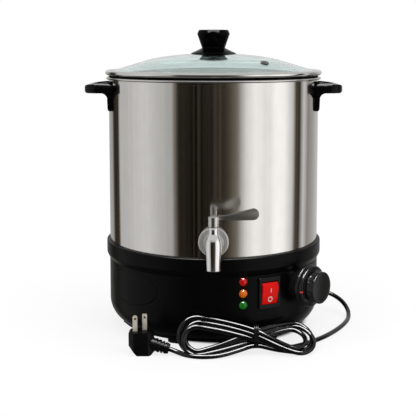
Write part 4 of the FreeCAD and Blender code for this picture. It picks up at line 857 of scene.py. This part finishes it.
def base():
    """Moulded drum that rounds in to its lower ring, with an oval line pressed in its side."""
    ring_r, bottom, knee_top, knee_steps = 139.5, 11.5, 40.5, 12
    across, up = BASE_R - ring_r - 2, knee_top - bottom
    radius = (across ** 2 + up ** 2) / (2 * across)
    knee = []
    for i in range(knee_steps + 1):
        rise = up * i / knee_steps
        reach = BASE_R - radius + math.sqrt(radius ** 2 - (up - rise) ** 2)
        knee.append((reach, bottom + rise))
    broad, tall = OVAL_HALF[0] + 2, OVAL_HALF[1] + 2
    rows = [OVAL_Z - tall + ROW_STEP * i for i in range(int(2 * tall / ROW_STEP) + 1)]
    wall = [(BASE_R, z) for z in rows if z < BASE_TOP - 1.2]
    outer = [(ring_r, 7.4), (ring_r, bottom - 0.6), (ring_r + 0.5, bottom - 0.1)] + knee + wall
    outer += [(BASE_R, BASE_TOP - 0.8), (BASE_R - 0.2, BASE_TOP - 0.2), (BASE_R - 0.8, BASE_TOP)]
    inner = [
        (153.7, BASE_TOP), (153.7, 42), (149.2, 25), (138.0, 18.5), (135.0, 16), (126, 16),
        (126, 13), (138.1, 13), (138.1, 7.0), (139.1, 7.0),
    ]
    made = bmesh.new()
    columns = []
    for along in wall_stops(broad, COLUMN_STEP, WIDE_STEP, 2 * math.pi * BASE_R):
        angle = OVAL_ANGLE + along / BASE_R
        column = []
        for i, (reach, z) in enumerate(outer + inner):
            if i < len(outer) and abs(along) <= broad:
                reach -= oval_dip(along, z - OVAL_Z)
            column.append(made.verts.new((reach * math.sin(angle), -reach * math.cos(angle), z)))
        columns.append(column)
    for one, other in zip(columns, columns[1:] + columns[:1]):
        for i in range(len(one)):
            j = (i + 1) % len(one)
            made.faces.new((one[i], other[i], other[j], one[j]))
    made.transform(upright() @ Matrix.Scale(MM, 4))
    piece_from("base_drum", made, "base_black", MELTER, ["base_housing"], sharp=40)


def box_outline(wide, deep, radius, z, inset=0.0):
    half_w, half_d = wide / 2 - inset, deep / 2 - inset
    corners = [(-half_w, -half_d), (half_w, -half_d), (half_w, half_d), (-half_w, half_d)]
    return [(x, y, z) for x, y in rounded(corners, max(0.5, radius - inset), 6)]


def hexagon(radius, z):
    turns = [math.radians(60 * i) for i in range(6)]
    return [(radius * math.cos(a), radius * math.sin(a), z) for a in turns]


def ring_of_six(name, parts, first, finish, node):
    """Six of a piece round the bottom, the first at an angle."""
    made = worked(joined(*parts), ring_rule(finish), Count=6, First=first, Step=60.0)
    made.transform(upright())
    piece_from(name, made, finish, MELTER, [node])


def rubber_feet():
    """Six feet, each a block with a bevelled tread and a stem pushed into the base."""
    there = shift(0, -FOOT_RING, 0)
    levels = ((0, 2.4), (0.4, 1.8), (2.2, 0.0), (9.9, 0.0), (10.5, 0.6))
    block = layered([box_outline(26, 15, 5, z, inset) for z, inset in levels], there)
    stem = [(0, 10.0), (3, 10.0), (3, 16), (4.2, 16), (4.4, 16.4), (4.0, 18), (0, 18)]
    parts = (block, turned(stem, 24, there))
    ring_of_six("rubber_feet", parts, -83.0, "foot_rubber", "feet")


def cover_screws():
    """Six hexagon screws in the bottom cover."""
    there = shift(0, -SCREW_RING, 0)
    head = layered([hexagon(2.9, 8.5), hexagon(3.4, 9.0), hexagon(3.4, 10.45)], there)
    shank = turned([(0, 10.4), (1.6, 10.4), (1.6, 17.4), (1.0, 18), (0, 18)], 20, there)
    ring_of_six("cover_screws", (head, shank), -53.0, "screw_zinc", "plate_screws")


# ---------------------------------------------------------------- switch, lamps and dial

def lamps():
    """Domed lenses in a row, one above the other."""
    profile = [(0, 141.8), (4.6, 141.8), (4.6, 156.4), (5.8, 156.85), (5.8, 157.9), (5.55, 158.3)]
    profile += arc((0, 154.1), 7.05, 38.5, 90, 10)
    for colour, z in LAMP_ROWS.items():
        made = turned(profile, 56, outward(LAMP_ANGLE, z))
        lamp = "lamp_" + colour
        piece_from(lamp + "_lens", made, "lens_" + colour, MELTER, [lamp], sharp=50)


def on_rocker(x, height, out):
    """Place on the rocker's front, in its own tilted frame."""
    stand = upright() @ turn(SWITCH_ANGLE, "Z") @ shift(0, -PIVOT_AT, SWITCH_Z)
    return stand @ turn(ROCKER_LEAN, "X") @ shift(x, -out, height) @ turn(90, "X")


def rocker_signs():
    """Bar and ring raised on the rocker."""
    face, aside = 6.2, 0.2
    levels = ((-0.3, 0.0), (0.12, 0.0), (0.22, 0.12))
    outlines = [box_outline(1.2, 6.0, 0.5, z, inset) for z, inset in levels]
    bar = layered(outlines, on_rocker(aside, 5.0, face))
    stretch = Matrix.Diagonal((1.0, 1.16, 1, 1))
    ring = turned(oblong(2.35, 3.55, -0.3, 0.2, 0.1, 2), 40, on_rocker(aside, -8.0, face) @ stretch)
    for name, made in (("sign_bar", bar), ("sign_ring", ring)):
        piece = piece_from(name, made, "mark_white", ROCKER, sharp=50)


def dial():
    """Dial with a wide skirt, a waist and a fluted grip with a raised rim."""
    skirt = [
        (0, 0), (27.9, 0), (28.5, 0.3), (SKIRT_R, 0.9), (SKIRT_R, 4.4), (28.4, 5.1), (27.5, 5.9),
        (26.9, 6.0), (20.1, 6.0), (19.5, 6.4),
    ]
    waist = [(19.5, -0.3), (20.0, 0), (22.1, 0.2), (GRIP_R, 0.6)]
    low, high, steps = GRIP_BACK + 0.6, GRIP_FACE - 1.1, 14
    side = [(GRIP_R, low + (high - low) * i / steps) for i in range(1, steps + 1)]
    face = [
        (22.3, -0.5), (21.8, -0.1), (21.3, 0), (20.4, 0), (20.1, -0.1), (19.7, -0.55),
        (19.3, -0.6), (0, -0.6),
    ]
    profile = raised(skirt, SKIRT_BACK) + raised(waist, GRIP_BACK) + side + raised(face, GRIP_FACE)
    sizes = {"Flutes": 18, "Depth": 0.5 * MM, "Grip radius": GRIP_R * MM,
             "Low": (low + 0.4) * MM, "High": (high - 1.2) * MM, "Ease": 1.2 * MM}
    made = worked(turned(profile, DIAL_ROUND, Matrix()), flute_rule("dial_black"), **sizes)
    made.transform(outward(DIAL_ANGLE, DIAL_Z))
    piece_from("fluted_dial", made, "dial_black", DIAL, ["dial_knob"], sharp=42)


def pointer():
    """Spot of red paint over the skirt's front edge, a little below its left side."""
    half = 1.0
    edge = [
        (28.2, 2.6), (28.85, 2.6), (28.85, 4.5), (28.5, 5.3), (27.5, 6.1), (26.4, 6.2), (26.4, 5.2),
    ]
    sides = [[(-r, y, SKIRT_BACK + z) for r, z in edge] for y in (-half, half)]
    made = layered(sides, outward(DIAL_ANGLE, DIAL_Z) @ turn(POINTER_ANGLE, "Z"))
    piece_from("red_pointer", made, "mark_red", DIAL, ["dial_mark"])


# ---------------------------------------------------------------- drain spigot

def spigot():
    """Casting of inlet, barrel and spout, the gland nut on it and the flange at the wall."""
    barrel = [
        (6.5, 152), (6.5, 122.0), (6.9, 121.6), (9.3, 121.6), (9.7, 121.8), (9.85, 122.3),
        (10.5, 141.0), (10.85, 145.0), (11, 149.0), (11, 156.0), (10.9, 158.4), (10.5, 160.8),
        (9.8, 163.0), (0, 163.0), (0, 152),
    ]
    inlet = [(6, 135.2), (8.7, 135.2), (9, 135.5), (9, 193.0), (6, 193.0)]
    made = joined(turned(barrel, SPIGOT_ROUND, upright(0, -SPIGOT_AXIS)),
                  turned(inlet, SPIGOT_ROUND, outward(0, SPIGOT_Z)))
    piece_from("spigot_casting", made, "spigot_steel", MELTER, ["spigot_body"])
    nut = [
        (3.3, 162.2), (6.9, 162.2), (6.9, 163.05), (9.45, 163.05), (9.0, 164.6), (8.3, 166.4),
        (7.5, 168.2), (6.8, 170.0), (6.35, 171.6), (6.15, 173), (6.1, 178.8), (5.6, 179.4),
        (3.3, 179.4),
    ]
    made = turned(nut, 72, upright(0, -SPIGOT_AXIS))
    piece_from("gland_nut", made, "spigot_steel", MELTER, ["spigot_bonnet"], sharp=45)
    corners = [
        (9.2, 158.45), (20.7, 158.45), (20.7, 163.4), (13.0, 163.4), (13.0, 168.4), (9.2, 168.4),
    ]
    made = turned(rounded(corners, [0.2, 0.5, 2.0, 0.8, 0.9, 0.3]), 128, outward(0, SPIGOT_Z))
    plate = piece_from("wall_flange", made, "flange_steel", MELTER, ["spigot_flange"])


# ---------------------------------------------------------------- plug and tie

TIE_AT = (57, -168, 24)
TIE_LEAN = 8.0          # turn of the tie about the upright, in degrees
SLEEVE_START = (-85, -170, 15)
SLEEVE_END = (-60, -172.5, 8)
RIB_PITCH = 5.0


def mains_plug():
    """Right-angled plug: faceted block with a ribbed sleeve where the cord comes out."""
    rib = rounded([(5, 0), (9.3, 0.3), (9.3, 3.3), (5, 3.6)], [0.2, 1.1, 1.1, 0.2], 4)
    ribs = worked(turned(rib, 40, Matrix()), row_rule("plug_black"), Count=4,
                  Pitch=RIB_PITCH * MM, Shrink=0.055)
    way = Vector(SLEEVE_END) - Vector(SLEEVE_START)
    ribs.transform(pointing(SLEEVE_START, way) @ shift(0, 0, RIB_PITCH))
    made = joined(softened("plug_body", 0.7, 30.0), ribs)
    return piece_from("plug", made, "plug_black", MELTER, ["plug_body"])


def wound_tie():
    """Thin strand wound three times round the middle of the hank."""
    spread = 6.6
    sizes = {"Turns": 3.0, "Half width": 8.9 * MM, "Half height": 15.4 * MM,
             "Spread": spread * MM, "Strand": 1.15 * MM}
    made = worked(bmesh.new(), winding_rule("tie_black"), **sizes)
    stand = upright(*TIE_AT) @ turn(TIE_LEAN, "Z") @ turn(90, "Y") @ turn(90, "Z")
    made.transform(stand @ shift(0, 0, -spread / 2))
    return piece_from("wound_tie", made, "tie_black", MELTER, ["cord_tie"], sharp=60)


# ---------------------------------------------------------------- stage

# The middle of the painted shadow under the base (a darker floor colour), and distances from it in
# metres: over the first the painted shadow ends, and over the second the floor turns to plain white
PAINTED_SHADOW_CENTRE = (0.013, 0.024, 0)
UNDER_BASE = (0.12, 0.132)
WHITE_FROM = (0.2, 0.5)
# Floor colour: a painted shadow's grey under the base, and plain grey elsewhere
PAINTED_SHADOW_GREY, FLOOR_GREY = 0.02, 0.9
FIRST_WHITE = 0.8       # share of plain white just outside the painted shadow
FLOOR_HALF = 9.0        # half the floor's side, in metres

# Lamps: place, size across, power and the place they aim at
LAMPS = (
    ("key_lamp", (-900, -1100, 1300), (1.1, 1.1), 9.0, (0, 0, 200)),
    ("fill_lamp", (1100, -900, 1100), (1.1, 1.1), 10.0, (0, 0, 180)),
    ("top_lamp", (0, 100, 1900), (1.4, 1.4), 14.0, (0, 0, 200)),
    ("gloss_lamp", (0, -560, 1500), (1.8, 0.8), 225.0, (0, -250, 0)),
    ("glint_lamp", (420, -1000, 1000), (0.26, 0.26), 5.0, (0, 0, 150)),
)
# These light only the gloss of the black pieces and lamp lenses
GLOSS_LAMPS = ("gloss_lamp", "glint_lamp")

# The room's walls as polished metal sees them: direction from the front towards the right,
# in degrees, and level
ROOM = [
    (-180, 0.5), (-145, 0.4), (-140, 0.03), (-126, 0.04), (-122.5, 0.68), (-107, 0.71),
    (-86, 0.87), (-75, 0.875), (-58, 0.68), (-44.5, 0.55), (-42.5, 0.24), (-37.5, 0.025),
    (-20, 0.002), (-9, 0.01), (12, 0.045), (20, 0.12), (26, 0.28), (30, 0.6), (36, 1.05),
    (45, 1.36), (50, 1.34), (57, 1.21), (62, 1.23), (72, 1.52), (82, 1.45), (94.5, 0.8),
    (99.5, 0.1), (107, 0.04), (111, 0.5), (115, 0.83), (124, 0.34), (150, 0.6),
]
BROWN_UNDER = 0.45      # walls darker than this turn brown:
LESS_GREEN = 0.2        # a black wall loses this share of green
LESS_BLUE = 0.48        # and this share of blue
CEILING = 0.75          # level above the walls, for polished things
BELOW = 0.12            # level well below the horizon, for polished things
DAYLIGHT = 0.6          # level of the room for everything else
# Heights as parts of a sight line: the walls begin over the first and end over the second,
# and behind the pot, over the third, they end lower by BACK_LOWER
WALLS_FROM = (-0.62, -0.45)
WALLS_TO = (0.3, 0.36)
BEHIND = (0.7, 0.95)
BACK_LOWER = 0.3
# Fine upright streaks on the walls: the most they add, their colour, how many there are to
# a radian, and the part of the noise that shows
STREAKS = 0.05
STREAK_COLOUR = (1, 0.8, 0.55, 1)
STREAK_SCALE = 13.0
STREAK_NOISE = (0.42, 0.75)


def ease(tree, value, start, end=(0.0, 1.0)):
    """Carries a value smoothly from the range start to the range end."""
    return span(tree, value, start, end, interpolation_type="SMOOTHSTEP")


def mix(tree, factor, one, other):
    given = {"Fac": factor, 1: one.outputs[0], 2: other.outputs[0]}
    return add(tree, "ShaderNodeMixShader", given)


def ray_kinds(tree):
    """What is seen straight or through glass, and what is seen by reflection."""
    rays = add(tree, "ShaderNodeLightPath").outputs
    straight = calculate(tree, "MAXIMUM", rays["Is Camera Ray"], rays["Is Transmission Ray"])
    return straight, rays["Is Glossy Ray"]


def floor_finish():
    """White floor with a painted shadow under the base, that keeps a little of its cast shadow
    elsewhere, and that polished metal does not see.
    """
    material, tree, shader, place = new_finish("floor_white")
    away = add(tree, "ShaderNodeVectorMath", {0: place, 1: PAINTED_SHADOW_CENTRE}, operation="DISTANCE")
    distance = away.outputs["Value"]
    # Painted shadow: the floor's own colour turns dark under the base
    level = ease(tree, distance, UNDER_BASE, (PAINTED_SHADOW_GREY, FLOOR_GREY))
    feed(tree, shader, {"Base Color": level, "Roughness": 0.6, "Specular IOR Level": 0.1})
    glow = add(tree, "ShaderNodeEmission", {"Strength": 1.0})
    white = ease(tree, distance, WHITE_FROM, (FIRST_WHITE, 1.0))
    white = calculate(tree, "MULTIPLY", white, ease(tree, distance, UNDER_BASE))
    straight, mirrored = ray_kinds(tree)
    lit = mix(tree, calculate(tree, "MULTIPLY", straight, white), shader, glow)
    last = mix(tree, mirrored, lit, add(tree, "ShaderNodeBsdfTransparent"))
    feed(tree, tree.nodes["Material Output"], {"Surface": last.outputs[0]})
    return material


def background(tree, colour, strength=1.0):
    """Light of the room, of a grey's level or a colour."""
    if isinstance(colour, float):
        colour = (colour, colour, colour, 1)
    return add(tree, "ShaderNodeBackground", {"Color": colour, "Strength": strength})


def walls_of(tree, angle):
    """The room's walls: pale and dark parts round the pot, with fine streaks over them."""
    turned_to = span(tree, angle, (-math.pi, math.pi), (0.0, 1.0))
    ramp = add(tree, "ShaderNodeValToRGB", {"Fac": turned_to})
    elements = ramp.color_ramp.elements
    while len(elements) < len(ROOM):
        elements.new(0.5)
    peak = max(level for _, level in ROOM)
    for element, (degrees, level) in zip(elements, ROOM):
        element.position = (degrees + 180) / 360
        share = level / peak
        dim = max(0.0, 1 - level / BROWN_UNDER)
        element.color = (share, share * (1 - LESS_GREEN * dim), share * (1 - LESS_BLUE * dim), 1)
    lines = add(tree, "ShaderNodeTexNoise", {"W": angle, "Scale": STREAK_SCALE, "Detail": 2.0},
                noise_dimensions="1D")
    added = ease(tree, lines.outputs["Fac"], STREAK_NOISE, (0.0, STREAKS))
    walls = background(tree, ramp.outputs["Color"], peak)
    streaks = background(tree, STREAK_COLOUR, added)
    return add(tree, "ShaderNodeAddShader", {0: walls.outputs[0], 1: streaks.outputs[0]})


def room():
    """Plain daylight, and walls and a ceiling that only polished things show."""
    world = bpy.data.worlds.new("room")
    bpy.context.scene.world = world
    world.use_nodes = True
    tree = world.node_tree
    tree.nodes.clear()
    x, y, z = apart(tree, add(tree, "ShaderNodeTexCoord").outputs["Generated"])
    angle = calculate(tree, "ARCTAN2", x, calculate(tree, "MULTIPLY", y, -1.0))
    walls = mix(tree, ease(tree, z, WALLS_FROM), background(tree, BELOW), walls_of(tree, angle))
    behind = calculate(tree, "MULTIPLY", ease(tree, y, BEHIND), BACK_LOWER)
    height = calculate(tree, "ADD", z, behind)
    polished = mix(tree, ease(tree, height, WALLS_TO), walls, background(tree, CEILING))
    straight, mirrored = ray_kinds(tree)
    plain = mix(tree, mirrored, background(tree, DAYLIGHT), polished)
    last = mix(tree, straight, plain, background(tree, 1.0))
    add(tree, "ShaderNodeOutputWorld", {"Surface": last.outputs[0]})


def glossy_pieces():
    """The black pieces and lamp lenses, kept together for the lamps that light nothing else."""
    kept = bpy.data.collections.new("glossy_pieces")
    for piece in bpy.context.collection.objects:
        finishes = [slot.material.name for slot in piece.material_slots if slot.material]
        if any("_black" in name or "lens_" in name for name in finishes):
            kept.objects.link(piece)
    return kept


def white_stage():
    """White floor, the room and the lamps."""
    mesh = bpy.data.meshes.new("floor")
    far = FLOOR_HALF
    mesh.from_pydata([(-far, -far, 0), (far, -far, 0), (far, far, 0), (-far, far, 0)], [],
                     [(0, 1, 2, 3)])
    mesh.materials.append(floor_finish())
    floor = put("floor", mesh)
    room()
    shining = glossy_pieces()
    for name, place, size, power, aim in LAMPS:
        data = bpy.data.lights.new(name, "AREA")
        data.shape = "RECTANGLE"
        data.size, data.size_y = size
        data.energy = power
        lamp = put(name, data)
        lamp.location = spot(*place)
        lamp.rotation_euler = (spot(*aim) - lamp.location).to_track_quat("-Z", "Y").to_euler()
        lamp.visible_glossy = name in GLOSS_LAMPS
        if name in GLOSS_LAMPS:
            lamp.visible_diffuse = False
            lamp.light_linking.receiver_collection = shining


# ---------------------------------------------------------------- assembly

steel_shell()
inner_pot()
glass_pane()
steel_band()
turned_knob()
vent()
collar()
base()
rubber_feet()
cover_screws()
lamps()
rocker_signs()
dial()
pointer()
spigot()
plug = mains_plug()
tie = wound_tie()

# Pieces whose construction shape is already right, with their edges eased:
# name, node, finish, body and width of the eased edge
EASED = (
    ("bottom_cover", "base_plate", "plate_black", MELTER, 0.25),
    ("left_handle", "handle_left", "handle_black", MELTER, 0.9),
    ("right_handle", "handle_right", "handle_black", MELTER, 0.9),
    ("switch_frame", "switch_housing", "switch_black", MELTER, 0.4),
    ("rocker", "switch_rocker", "rocker_red", ROCKER, 0.5),
    ("dial_stand", "dial_bezel", "dial_black", MELTER, 0.4),
    ("lever", "spigot_lever", "lever_steel", SPIGOT_KEY, 0.45),
    ("lever_cap_screw", "lever_screw", "spigot_steel", SPIGOT_KEY, 0.2),
    ("flange_seal", "spigot_seal", "gasket", MELTER, 0.3),
    ("cord_grommet", "cord_gland", "cord_black", MELTER, 0.3),
    ("plug_pins", "plug_blades", "blade_brass", MELTER, 0.2),
)
for name, node, finish, body, width in EASED:
    piece_from(name, softened(node, width), finish, body, [node])

cord = lay_cord(FINISH["cord_black"])
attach(cord, MELTER)
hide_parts("cord_lead", "cord_hank", "cord_tail")

# The other nodes are shown as they are, in the finish of their slot
slot_of = {part["node"]: part["material_slot"] for part in frame["record"]["subparts"]}
SEEN_AS = {"knob_washer": "washer_green"}
for name, node in frame["nodes"].items():
    node.data.materials.clear()
    node.data.materials.append(FINISH[SEEN_AS.get(name, slot_of[name])])

white_stage()
bpy.context.scene.view_settings.view_transform = "Standard"
